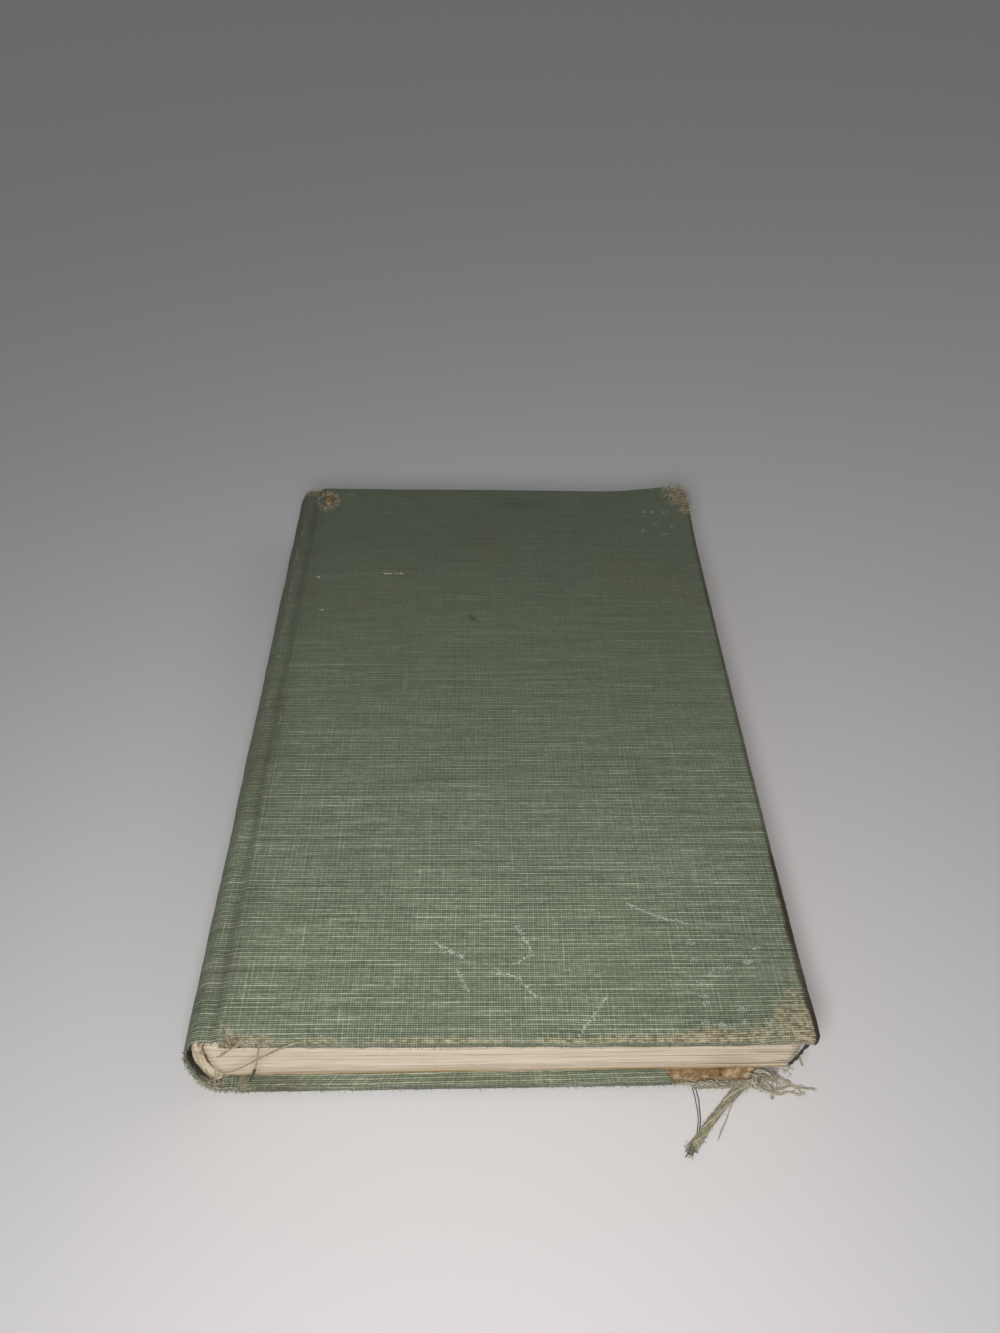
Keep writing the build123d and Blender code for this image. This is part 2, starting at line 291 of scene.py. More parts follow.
def cloth_surface(add):
    """Linen-grain book cloth: coarse cotton threads, dyed sage green and filled with starch.

    It looks matt and finely streaked, because each thread took the dye differently, and rubbing bares the
    undyed cotton. u and v are millimetres along the rows and the columns of threads.
    """
    row_pitch, column_pitch = 0.49, 0.545
    flat = bend_uv(add)
    parts = add("SeparateXYZ", {0: flat}).node.outputs
    u, v = parts[0], parts[1]
    row_place = add("Math", {0: v, 1: row_pitch}, operation="DIVIDE")
    row = add("Math", {0: row_place}, operation="FLOOR")
    column_place = add("Math", {0: u, 1: column_pitch}, operation="DIVIDE")
    column = add("Math", {0: column_place}, operation="FLOOR")

    def streaks(along, length, thread, step, detail):
        """Noise that runs along a thread, and jumps from one thread to the next."""
        place = add("CombineXYZ", {
            0: add("Math", {0: along, 1: 1 / length}, operation="MULTIPLY"),
            1: add("Math", {0: thread, 1: step}, operation="MULTIPLY"),
        })
        return add("TexNoise", {"Vector": place, "Scale": 1.0, "Detail": detail, "Roughness": 0.6}, **FLAT)

    weft = streaks(u, 26.0, row, 3.7, 3.0)
    short = streaks(u, 1.6, row, 5.3, 2.0)
    warp = streaks(v, 16.0, column, 4.3, 3.0)
    bright_weft = add("MapRange", {0: streaks(u, 15.0, row, 6.1, 1.0), 1: 0.6, 2: 0.8})
    bright_warp = add("MapRange", {0: streaks(v, 11.0, column, 7.7, 1.0), 1: 0.62, 2: 0.8})
    band = streaks(u, 38.0, v, 0.42, 4.0)
    cloud = add("TexNoise", {"Vector": flat, "Scale": 0.035, "Detail": 5.0, "Roughness": 0.6}, **FLAT)

    def ribs(place):
        """Height across the threads: each one is a round crest, and every second one stands higher."""
        wave = add("Math", {0: add("Math", {0: place, 1: pi}, operation="MULTIPLY")}, operation="SINE")
        crest = add("Math", {0: wave}, operation="ABSOLUTE")
        return add("Math", {0: wave, 1: 0.14, 2: add("Math", {0: crest, 1: 0.86}, operation="MULTIPLY")},
                   operation="MULTIPLY_ADD")

    rib, crown = ribs(row_place), ribs(column_place)
    grit = add("TexNoise", {"Vector": flat, "Scale": 5.0, "Detail": 3.0}, **FLAT)
    weave = add("Math", {0: add("Math", {0: rib, 1: 0.72}, operation="MULTIPLY"),
                         1: add("Math", {0: crown, 1: 0.28}, operation="MULTIPLY")}, operation="ADD")
    rise = add("Math", {0: grit, 1: 0.5}, operation="MULTIPLY")
    height = add("Math", {0: weave, 1: rise}, operation="ADD")

    # Streaks are strongest towards the tail, where handling has raised the threads, and fade towards the
    # head as painted shade.
    # The weave's height paints shade in the hollows between threads and a highlight on their crowns.
    tone = 0.0
    for part, middle, weight in ((weft, 0.5, 0.42), (short, 0.5, 0.30), (warp, 0.5, 0.13), (band, 0.5, 0.10),
                                 (weave, 0.54, 0.66), (bright_weft, 0.05, 0.14), (bright_warp, 0.04, 0.07)):
        centred = add("Math", {0: part, 1: middle}, operation="SUBTRACT")
        tone = add("Math", {0: centred, 1: weight, 2: tone}, operation="MULTIPLY_ADD")
    strength = add("MapRange", {0: v, 1: -70.0, 2: 80.0, 3: 1.0, 4: 0.42})
    tone = add("Math", {0: tone, 1: strength, 2: 0.5}, operation="MULTIPLY_ADD")
    dyed = add("ValToRGB", {0: tone}, stops=(
        (0.16, "#353e30"), (0.36, "#626d57"), (0.52, "#7c8771"), (0.68, "#98a18b"), (0.86, "#ced2bd")))
    fading = add("MapRange", {0: cloud, 1: 0.45, 2: 0.75, 3: 0.0, 4: 0.22})
    faded = add("Mix", {0: fading, 6: dyed, 7: "#7f7f68"}, **COLOURS)
    # Painted shade: the cloth is darkened towards the head, where less light falls.
    painted_head_shade = add("MapRange", {0: v, 1: -60.0, 2: 70.0, 3: 0.0, 4: 0.42})
    shaded = add("Mix", {0: painted_head_shade, 6: faded, 7: "#4f5442"}, **COLOURS)

    # Brown stains and handling dirt, and painted shade in the same brown: the front cover's fore-edge band
    # and its tail end, and the spine cloth's turned-in ends and joint groove
    dirt = add("Attribute", output=2, attribute_name="dirt")
    patches = add("MapRange", {0: cloud, 1: 0.3, 2: 0.7, 3: 0.6, 4: 1.2})
    dirt = add("Math", {0: dirt, 1: patches}, operation="MULTIPLY")
    soiled_and_shaded = add("Mix", {0: dirt, 6: shaded, 7: "#3f3427"}, clamp_factor=True, **COLOURS)

    # Rubbed threads: the crowns of the ribs go first, thread by thread
    wear = add("Attribute", output=2, attribute_name="wear")
    uneven = add("Math", {0: short, 1: 1.0, 2: add("Math", {0: weave, 1: 0.6}, operation="MULTIPLY")},
                 operation="MULTIPLY_ADD")
    rubbed = add("MapRange", {0: add("Math", {0: wear, 1: uneven}, operation="MULTIPLY"), 1: 0.25, 2: 0.78})
    bare = add("ValToRGB", {0: uneven}, stops=((0.55, "#5f5a43"), (0.8, "#968d6f"), (1.0, "#c0b699")))
    colour = add("Mix", {0: rubbed, 6: soiled_and_shaded, 7: bare}, **COLOURS)

    normal = add("Bump", {"Strength": 0.8, "Distance": 0.00016, "Height": height})
    return add("BsdfPrincipled", {"Base Color": colour, "Roughness": 0.86, "Specular IOR Level": 0.25,
                                  "Sheen Weight": 0.05, "Sheen Roughness": 0.6, "Normal": normal})


def board_surface(dark, middle, light):
    """Millboard: pulped brown fibre, pressed in sheets. Torn, it looks woolly and tan, with dirt in it."""

    def build(add):
        place = add("TexCoord", output=3)
        mid = add("TexNoise", {"Vector": place, "Scale": 700.0, "Detail": 5.0, "Roughness": 0.7})
        layers = add("TexNoise", {
            "Vector": add("VectorMath", {0: place, 1: (260.0, 260.0, 4200.0)}, operation="MULTIPLY"),
            "Scale": 1.0, "Detail": 4.0, "Roughness": 0.7})
        patch = add("TexNoise", {"Vector": place, "Scale": 160.0, "Detail": 4.0})
        tone = add("Math", {0: add("Math", {0: mid, 1: 0.5}, operation="MULTIPLY"),
                            1: add("Math", {0: layers, 1: 0.5}, operation="MULTIPLY")}, operation="ADD")
        fibre = add("ValToRGB", {0: tone}, stops=((0.36, dark), (0.5, middle), (0.64, light)))
        dirty = add("MapRange", {0: patch, 1: 0.48, 2: 0.7, 3: 0.0, 4: 0.6})
        colour = add("Mix", {0: dirty, 6: fibre, 7: "#7d6a54"}, **COLOURS)
        normal = add("Bump", {"Strength": 0.9, "Distance": 0.0003, "Height": tone})
        return add("BsdfPrincipled", {"Base Color": colour, "Roughness": 0.95, "Specular IOR Level": 0.15,
                                      "Normal": normal})

    return build


def page_surface(add):
    """The cut edges of the leaves: uncoated book paper, browned by air.

    Each leaf shows as a fine line, lighter or darker than the next, and sections stand apart as dark lines
    of painted shade in the gaps between them.
    A leaf is 0.1 mm thick, and is drawn coarser, at 0.14 mm, so that it shows.
    """
    flat = add("UVMap", uv_map="flat")
    parts = add("SeparateXYZ", {0: flat}).node.outputs

    def lines(length, fineness, detail):
        """Noise in lines of a length along the leaves, with so many lines to a millimetre."""
        place = add("CombineXYZ", {
            0: add("Math", {0: parts[0], 1: 1 / length}, operation="MULTIPLY"),
            1: add("Math", {0: parts[1], 1: fineness}, operation="MULTIPLY"),
        })
        return add("TexNoise", {"Vector": place, "Scale": 1.0, "Detail": detail, "Roughness": 0.6}, **FLAT)

    leaf = lines(34.0, 7.0, 2.0)
    group = lines(70.0, 2.0, 3.0)
    blotch = lines(22.0, 0.09, 4.0)
    # Painted shade: gap darkens the page edges where sections part.
    gap = add("Attribute", output=2, attribute_name="gap")
    tone = add("Math", {0: add("Math", {0: leaf, 1: 0.68}, operation="MULTIPLY"),
                        1: add("Math", {0: group, 1: 0.32}, operation="MULTIPLY")}, operation="ADD")
    paper = add("ValToRGB", {0: tone}, stops=((0.30, "#937d60"), (0.42, "#dbcab1"), (0.60, "#f0e4d0")))
    browning = add("MapRange", {0: blotch, 1: 0.5, 2: 0.8, 3: 0.0, 4: 0.3})
    aged = add("Mix", {0: browning, 6: paper, 7: "#b59d78"}, **COLOURS)
    colour = add("Mix", {0: gap, 6: aged, 7: "#54452f"}, clamp_factor=True, **COLOURS)
    normal = add("Bump", {"Strength": 0.6, "Distance": 0.00008, "Height": leaf})
    return add("BsdfPrincipled", {"Base Color": colour, "Roughness": 0.9, "Specular IOR Level": 0.2,
                                  "Subsurface Weight": 0.08, "Subsurface Radius": (0.0006, 0.0004, 0.0003),
                                  "Normal": normal})


def endpaper_surface(add):
    """Endpaper: cream wove paper. Air has browned it in from its edges, and damp left rusty specks."""
    flat = add("UVMap", uv_map="flat")
    cloud = add("TexNoise", {"Vector": flat, "Scale": 0.03, "Detail": 6.0, "Roughness": 0.6}, **FLAT)
    fibre = add("TexNoise", {"Vector": flat, "Scale": 2.2, "Detail": 5.0, "Roughness": 0.7}, **FLAT)
    speck = add("TexNoise", {"Vector": flat, "Scale": 0.55, "Detail": 3.0, "Roughness": 0.7}, **FLAT)
    brown = add("Attribute", output=2, attribute_name="brown")
    paper = add("Mix", {0: fibre, 6: "#cdbf9f", 7: "#e0d6bb"}, **COLOURS)
    patches = add("MapRange", {0: cloud, 1: 0.3, 2: 0.7, 3: 0.5, 4: 1.1})
    browning = add("Math", {0: brown, 1: patches}, operation="MULTIPLY")
    aged = add("Mix", {0: browning, 6: paper, 7: "#9a7f55"}, clamp_factor=True, **COLOURS)
    damp = add("MapRange", {0: cloud, 1: 0.5, 2: 0.8, 3: 0.0, 4: 0.4})
    clouded = add("Mix", {0: damp, 6: aged, 7: "#b39a70"}, **COLOURS)
    foxing = add("Math", {0: speck, 1: cloud}, operation="MULTIPLY")
    rust = add("MapRange", {0: foxing, 1: 0.37, 2: 0.44, 3: 0.0, 4: 0.55})
    spotted = add("Mix", {0: rust, 6: clouded, 7: "#8f6236"}, **COLOURS)
    normal = add("Bump", {"Strength": 0.35, "Distance": 0.00008, "Height": fibre})
    return add("BsdfPrincipled", {"Base Color": spotted, "Roughness": 0.88, "Specular IOR Level": 0.25,
                                  "Normal": normal})


def lining_surface(add):
    """Layers of paper glued to the pages' back: cream, crumbling, with brown hide glue soaked in."""
    place = add("TexCoord", output=3)
    layers = add("TexNoise", {
        "Vector": add("VectorMath", {0: place, 1: (2200.0, 90.0, 160.0)}, operation="MULTIPLY"),
        "Scale": 1.0, "Detail": 4.0, "Roughness": 0.7})
    glue = add("TexNoise", {"Vector": place, "Scale": 380.0, "Detail": 4.0})
    paper = add("ValToRGB", {0: layers}, stops=((0.33, "#b09b74"), (0.58, "#ece2c8")))
    soaked = add("MapRange", {0: glue, 1: 0.55, 2: 0.7, 3: 0.0, 4: 0.8})
    colour = add("Mix", {0: soaked, 6: paper, 7: "#6b4a2a"}, **COLOURS)
    normal = add("Bump", {"Strength": 0.6, "Distance": 0.0002, "Height": layers})
    return add("BsdfPrincipled", {"Base Color": colour, "Roughness": 0.9, "Specular IOR Level": 0.2,
                                  "Normal": normal})


def glue_surface(add):
    """Hide glue that has dried brown and brittle, with a crackled, slightly glossy face."""
    place = add("TexCoord", output=3)
    crackle = add("TexVoronoi", {"Vector": place, "Scale": 900.0}, feature="DISTANCE_TO_EDGE")
    cloud = add("TexNoise", {"Vector": place, "Scale": 500.0, "Detail": 4.0})
    colour = add("Mix", {0: cloud, 6: "#3d2713", 7: "#8a6238"}, **COLOURS)
    normal = add("Bump", {"Strength": 0.7, "Distance": 0.0001, "Height": crackle})
    return add("BsdfPrincipled", {"Base Color": colour, "Roughness": 0.55, "IOR": 1.5, "Normal": normal})


def gauze_surface(add):
    """Mull: an open cotton gauze, soaked in glue, so its threads show as a brown and cream net."""
    mesh_pitch = 0.0012
    place = add("TexCoord", output=3)
    parts = add("SeparateXYZ", {0: place}).node.outputs
    threads = []
    for axis in (1, 2):
        turn = add("Math", {0: parts[axis], 1: 2 * pi / mesh_pitch}, operation="MULTIPLY")
        wave = add("Math", {0: turn}, operation="SINE")
        threads.append(add("Math", {0: wave, 1: 0.55}, operation="GREATER_THAN"))
    net = add("Math", {0: threads[0], 1: threads[1]}, operation="MAXIMUM")
    glue = add("TexNoise", {"Vector": place, "Scale": 260.0, "Detail": 4.0})
    ground = add("Mix", {0: glue, 6: "#5d4023", 7: "#a3824f"}, **COLOURS)
    colour = add("Mix", {0: net, 6: ground, 7: "#b9ab86"}, **COLOURS)
    normal = add("Bump", {"Strength": 0.6, "Distance": 0.0002, "Height": net})
    return add("BsdfPrincipled", {"Base Color": colour, "Roughness": 0.8, "Specular IOR Level": 0.3,
                                  "Normal": normal})


def thread_surface(colours):
    """Loose cotton threads, undyed inside and dyed on the face. tint picks each one's colour."""

    def build(add):
        tint = add("Attribute", output=2, attribute_name="tint")
        place = add("TexCoord", output=3)
        twist = add("TexNoise", {"Vector": place, "Scale": 3000.0, "Detail": 2.0})
        shades = colours.split()
        stops = tuple(zip(np.linspace(0, 1, len(shades)).tolist(), shades))
        dye = add("ValToRGB", {0: tint}, stops=stops)
        # Painted shade in the hollows of the twist.
        hollow = add("MapRange", {0: twist, 1: 0.35, 2: 0.65, 3: 0.45, 4: 0.0})
        shade = add("Mix", {0: hollow, 6: dye, 7: "#3d3828"}, **COLOURS)
        return add("BsdfPrincipled", {"Base Color": shade, "Roughness": 0.9, "Specular IOR Level": 0.2,
                                      "Sheen Weight": 0.2, "Sheen Roughness": 0.5})

    return build


def floor_surface(add):
    """Smooth white paperboard."""
    return add("BsdfPrincipled", {"Base Color": "#dedcdd", "Roughness": 0.75, "Specular IOR Level": 0.2})


cloth = make_material("book_cloth", cloth_surface)
board_stuff = make_material("millboard", board_surface("#55412d", "#957a5a", "#d3c0a0"))
# The spine card is nearly black: painted shade for the dark gap between the spine cloth and the lining.
shaded_card_stuff = make_material("spine_card_painted_shade", board_surface("#231b13", "#3d3022", "#5c4a36"))
page_stuff = make_material("page_edges", page_surface)
end_stuff = make_material("endpaper", endpaper_surface)
lining_stuff = make_material("spine_lining_paper", lining_surface)
gauze_stuff = make_material("mull", gauze_surface)
glue_stuff = make_material("hide_glue", glue_surface)
rubbed_thread = make_material("rubbed_thread", thread_surface("#b9c4ac #eef0e4 #d5dbc9 #c9d2bd"))
strip_thread = make_material("strip_thread", thread_surface("#83866c #c9c0a2 #a19f82 #ddd5bc #5b5f49"))
pale_thread = make_material("pale_thread", thread_surface("#cfc5aa #ebe4d2 #b3ae96 #dcd4bc #9b9c86"))
green_thread = make_material("green_thread", thread_surface("#6d745e #8b907a #59604c #a8a98f"))
undyed_thread = make_material("undyed_thread", thread_surface("#b9a680 #d6c8a4 #a3906a #c7b78f"))
dark_thread = make_material("dark_thread", thread_surface("#2a2620 #4b4436 #161412"))
board_fibre = make_material("board_fibre", thread_surface("#6b4828 #9a7248 #b89468 #4f3520"))


# ---------------------------------------------------------------- covers

# A cover is worked out flat: x and y from its middle, and a depth from its outer face to its inner face.


def rounded_outline(count, half_x, half_y, radii):
    """Points round a rectangle with quarter circles as corners, anticlockwise from the fore-edge's tail end.

    radii are those of the corners tail-fore, head-fore, head-spine and tail-spine.
    """
    signs = [(1, -1), (1, 1), (-1, 1), (-1, -1)]
    starts = [-pi / 2, 0, pi / 2, pi]
    path = []
    for (sx, sy), start, radius in zip(signs, starts, radii):
        turn = start + np.linspace(0, pi / 2, 12)
        centre = (sx * (half_x - radius), sy * (half_y - radius))
        path.append(np.stack([centre[0] + radius * np.cos(turn), centre[1] + radius * np.sin(turn)], 1))
    path = np.vstack(path + [path[0][:1]])
    run = np.concatenate([[0], np.cumsum(np.linalg.norm(np.diff(path, axis=0), axis=1))])
    spots = np.linspace(0, run[-1], count, endpoint=False)
    return np.stack([np.interp(spots, run, path[:, 0]), np.interp(spots, run, path[:, 1])], 1)


def slab_rings(insets, depths, outline, half_x, half_y):
    """Rings of points from the outline, each moved in by its inset. uv is the distance along the cloth."""
    insets, depths = np.asarray(insets, float), np.asarray(depths, float)
    half = np.array([half_x, half_y])
    flat = outline[None] * (1 - insets[:, None, None] / half)
    run = np.concatenate([[0], np.cumsum(np.hypot(np.diff(insets), np.diff(depths)))]) - insets[0]
    tangent = np.roll(outline, -1, axis=0) - np.roll(outline, 1, axis=0)
    outward = np.stack([tangent[:, 1], -tangent[:, 0]], 1) / np.linalg.norm(tangent, axis=1)[:, None]
    uv = np.where(run[:, None, None] < 0, flat, outline[None] + run[:, None, None] * outward[None])
    depth = np.broadcast_to(depths[:, None], flat.shape[:2])
    return flat[..., 0], flat[..., 1], depth, uv, run


def corner_share(x, y, sx, sy, reach):
    """1 at one corner of a cover and 0 beyond the reach, along both edges."""
    return ease(1 - np.hypot((half_width - sx * x), (half_length - sy * y)) / reach)


def front_lift(x, y):
    """How far the front cover stands off its flat face.

    Two corners curl up, the face waves a little and has small dents, and it falls off beside the fore-edge
    and the tail. A dent is its two ends, its depth and its half width.
    """
    lift = 2.6 * corner_share(x, y, 1, 1, 34) ** 1.6
    lift = lift + 0.9 * corner_share(x, y, 1, -1, 26) ** 1.5
    lift = lift + 0.10 * noise(x / 45, y / 45, 3) * ease((half_width - abs(x)) / 12)
    dents = [((18.7, -88.5), (12.0, -97.5), 0.22, 1.3), ((16, -83), (24, -77), 0.12, 1.6),
             ((-0.6, -70.8), (3.4, -78.5), 0.07, 1.2), ((25.4, -65.8), (39, -71.2), 0.06, 1.2)]
    for start, end, depth, width in dents:
        a, b = np.array(start), np.array(end)
        span = b - a
        t = np.clip(((x - a[0]) * span[0] + (y - a[1]) * span[1]) / (span @ span), 0, 1)
        gap = np.hypot(x - a[0] - t * span[0], y - a[1] - t * span[1])
        lift = lift - depth * np.exp(-((gap / width) ** 2))
    lift = lift - 0.5 * ease((x - 60.9) / 1.9) * (0.75 + 0.25 * noise(x / 50, y / 6, 6))
    return lift - 0.12 * np.exp(-(half_length + y) / 1.5) * (1 + noise(x / 5, y / 50, 5))


def back_lift(x, y):
    """How far the back cover stands up from its flat face: a slight lift of its tail and head edges."""
    lift = 0.25 * corner_share(x, y, 1, -1, 30)
    lift = lift + 0.16 * ease(1 - (half_length + y) / 8) * (1 + noise(x / 9, y / 9, 11))
    return lift + 0.12 * ease(1 - (half_length - y) / 8) * (1 + noise(x / 9, y / 9, 12))


def bow(x, y):
    """The fore-edge has worn slightly hollow between its corners."""
    return 0.55 * ease(x / half_width) * (1 - (y / half_length) ** 2)


def place_front(x, y, depth):
    """Cover coordinates of the front cover to the shared frame."""
    along = x - bow(x, y) - joint_x
    out = front_lift(x, y) - depth
    return np.stack([joint_x + along * cos(tilt) + out * sin(tilt), y + 0 * x,
                     joint_top - along * sin(tilt) + out * cos(tilt)], -1)


def place_back(x, y, depth):
    """Cover coordinates of the back cover to the shared frame."""
    return np.stack([x - 0.6 * bow(x, y), y + 0 * x, depth + back_lift(x, y)], -1)


# Rings over the cover's outer face, round its edge and over the turn-in: how far each one is in from the
# outline, and how deep it is under the outer face
outer_insets = np.concatenate([np.arange(60, 12, -2.0), np.arange(12, 2.5, -1.2), [2.2, 1.6, 1.1, 0.75]])
rim_insets = [0.42, 0.16, 0.03, 0.0, 0.0, 0.03, 0.16, 0.42, 0.75]
rim_depths = [0.05, 0.2, 0.5, 0.95, 2.15, 2.6, 2.9, 3.05, 3.1]
inner_insets = [1.5, 3.0, 6.0, 10.0, 13.6, turn_in]
cover_insets = np.concatenate([outer_insets, rim_insets, inner_insets])
cover_depths = np.concatenate([0 * outer_insets, rim_depths, [3.1] * 5 + [3.0]])


def edge_mask(run, spot, width):
    """1 on one line along the edge, such as an arris, and fading off to each side."""
    return np.exp(-(((run - spot) / width) ** 2))


def past_corner(x, y, sx, sy, reach_x, reach_y, seed, rough=0.35):
    """Over 0 inside a ragged triangle at one corner of a cover."""
    across = (half_width - sx * x) / reach_x + (half_length - sy * y) / reach_y
    return 1 - across + rough * noise(x / 1.3, y / 1.3, seed)


def hole_depth(x, y):
    """Over 0 inside the ragged hole at the head end of the spine edge."""
    return 1 - np.hypot((x + 60.3) / 2.6, (y - 90.8) / 3.5) + 0.22 * noise(x / 1.1, y / 1.1, 21)


def add_cover_cloth(name, place, flip, masks_of, missing):
    """The cloth round one board: outer face, rounded edges, and turn-ins at all but the spine edge."""
    outline = rounded_outline(880, half_width, half_length, (1.0, 2.6, 0.5, 0.5))
    x, y, depth, uv, run = slab_rings(cover_insets, cover_depths, outline, half_width, half_length)
    rough = 0.10 * noise(uv[..., 0] / 2.2, uv[..., 1] / 2.2, 31) * ease((run[:, None] + 3) / 3)
    points = place(x * (1 + rough / half_width), y * (1 + rough / half_length), depth)
    faces = grid_faces(len(cover_insets), len(outline), closed=True)
    middle_x, middle_y = x.ravel()[faces].mean(1), y.ravel()[faces].mean(1)
    middle_depth = depth.ravel()[faces].mean(1)
    last_ring = np.arange(len(faces)) >= len(faces) - len(outline)
    inner = (middle_depth > 3.07) | last_ring
    no_turn_in = inner & (middle_x < -half_width + turn_in + 1) & (abs(middle_y) < half_length - 13)
    keep = ~(no_turn_in | missing(middle_x, middle_y, middle_depth))
    masks = masks_of(x, y, run[:, None] + 0 * x, depth)
    cap = np.arange(len(outline))
    return add_mesh(name, points, faces[keep], cloth, uv=uv, masks=masks, caps=[cap], flip=flip,
                    thickness=cloth_shell)


def front_masks(x, y, run, depth):
    """Wear, dirt and painted shade on the front cover."""
    upper = edge_mask(run, -0.1, 0.42)
    tail_side, head_side = ease((-y - 96.0) / 2), ease((y - 96.0) / 2)
    fore_side = ease((x - 60.2) / 2) * (1 - tail_side) * (1 - head_side)
    spine_side = ease((-x - 60.6) / 2)
    fore_face = ease((x - 58.8) / 1.4) * (1 - ease((x - 61) / 0.7)) * ease((-y - 66) / 14)
    near_tail = np.exp(-(((half_length + y) / (1.8 + 1.6 * ease(x / 60))) ** 2)) * (run < 0.5)
    patch = noise(x / 6, y / 6, 41)
    wear = np.maximum.reduce([
        upper * tail_side * (0.68 + 0.26 * patch + 0.3 * ease((-x - 48) / 10) + 0.2 * ease((x - 40) / 14)),
        edge_mask(run, 1.3, 1.5) * tail_side * (0.44 + 0.16 * patch),
        0.55 * fore_face * (0.7 + 0.5 * patch),
        upper * fore_side * (0.25 + 0.2 * patch),
        upper * head_side * (0.35 + 0.3 * patch),
        upper * spine_side * (0.2 + 0.2 * patch),
        # The corners, and the cloth round the hole
        0.95 * ease(past_corner(x, y, 1, -1, 15, 17, 51, 0.4) + 0.35),
        0.85 * ease((past_corner(x, y, 1, 1, 9, 14, 52, 0.5) + 0.6) / 0.8),
        0.90 * ease((past_corner(x, y, -1, -1, 9, 4.5, 53, 0.5) + 0.5) / 0.8),
        0.85 * ease((hole_depth(x, y) + 1.2) / 1.1),
        # Two rubbed threads
        0.8 * np.exp(-(((x + 35.7) / 3.2) ** 2 + ((y - 52.3) / 0.4) ** 2)),
        0.7 * np.exp(-(((x + 53) / 2.2) ** 2 + ((y - 94.5) / 0.7) ** 2)),
        # The face beside the tail edge
        near_tail * (0.62 + 0.5 * ease((x + 5) / 45)) * (0.9 + 0.4 * patch),
        0.95 * near_tail * ease((-x - 46) / 8),
    ])
    # Along the fore-edge the cloth is dark with handling dirt and with painted shade where its edge rounds
    # down, and towards the tail it isn't rubbed bare
    band = x - 61.3 + 0.35 * ease((-y - 40) / 30) - 0.25 * noise(y / 3, x / 3, 42)
    fore_dirt_and_shade = ease(band / 0.45)
    wear = wear * (1 - 0.92 * fore_dirt_and_shade * ease((-y - 40) / 15))
    dirt = np.maximum.reduce([
        0.75 * np.exp(-(((x + 10.6) / 0.8) ** 2 + ((y - 32) / 1.2) ** 2)),
        0.35 * np.exp(-(((x - 6) / 7) ** 2 + ((y - 90) / 2.2) ** 2)),
        0.30 * np.exp(-(((x + 60) / 3) ** 2 + ((y + 62) / 6) ** 2)),
        (0.55 + 0.5 * ease((-y - 45) / 15)) * fore_dirt_and_shade,
        (0.42 + 0.1 * patch) * edge_mask(run, 1.9, 1.0) * tail_side,
        # The second term is painted shade: darker towards the tail end of the fore-edge, where less light
        # falls.
        0.10 * ease((-x - 54) / 10) + 0.12 * ease((x - 30) / 30) * ease((-y - 30) / 40),
    ])
    return {"wear": wear, "dirt": dirt}


def front_missing(x, y, depth):
    """Where the front cover's cloth is worn off: two corners and the hole."""
    corner = (past_corner(x, y, 1, 1, 7.2, 11.5, 52) > 0) & (depth < 2.4)
    foot = (past_corner(x, y, -1, -1, 4.6, 4.2, 53) > 0) & (depth < 2.4)
    return corner | foot | ((hole_depth(x, y) > 0) & (depth < 1.2))


def back_masks(x, y, run, depth):
    """Wear and dirt on the back cover."""
    edges = np.maximum(edge_mask(run, -0.2, 0.6), 0.8 * edge_mask(run, 2.9, 0.6))
    patch = noise(x / 7, y / 7, 61)
    wear = np.maximum.reduce([
        edges * (0.5 + 0.35 * patch) * (1 - 0.9 * ease((-x - 59.5) / 2)),
        0.90 * ease((past_corner(x, y, 1, -1, 26, 24, 62, 0.4) + 0.25) / 0.5),
        0.85 * ease((past_corner(x, y, 1, 1, 9, 10, 63, 0.5) + 0.3) / 0.6),
        0.50 * ease((past_corner(x, y, -1, -1, 5, 5, 64, 0.5) + 0.3) / 0.8),
        0.50 * ease(noise(x / 14, y / 30, 65) - 0.35) * (depth < 0.5),
    ])
    dirt = 0.35 * ease(0.5 + noise(x / 20, y / 20, 66)) + 0.3 * edge_mask(run, 1.4, 1.0)
    return {"wear": wear, "dirt": dirt}


def back_torn(x, y):
    """Over 0 where the back cover's cloth is torn off: at its tail corner and along the tail beside it."""
    corner = 1 - ((half_width - x) / 15.5 + (half_length + y) / 17.5)
    strip = np.minimum((x - 33.5) / 3, 1 - (half_length + y) / 3.4)
    return np.maximum(corner, np.minimum(strip, 0.6)) + 0.22 * noise(x / 1.6, y / 1.6, 71)


def back_missing(x, y, depth):
    """Where the back cover's cloth is torn off, through its whole thickness."""
    return back_torn(x, y) > 0


front_cloth = add_cover_cloth("front_cover_cloth", place_front, False, front_masks, front_missing)
back_cloth = add_cover_cloth("back_cover_cloth", place_back, True, back_masks, back_missing)
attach(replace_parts(front_cloth, "front_cloth"), "front_cover")
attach(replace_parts(back_cloth, "back_cloth"), "back_cover")


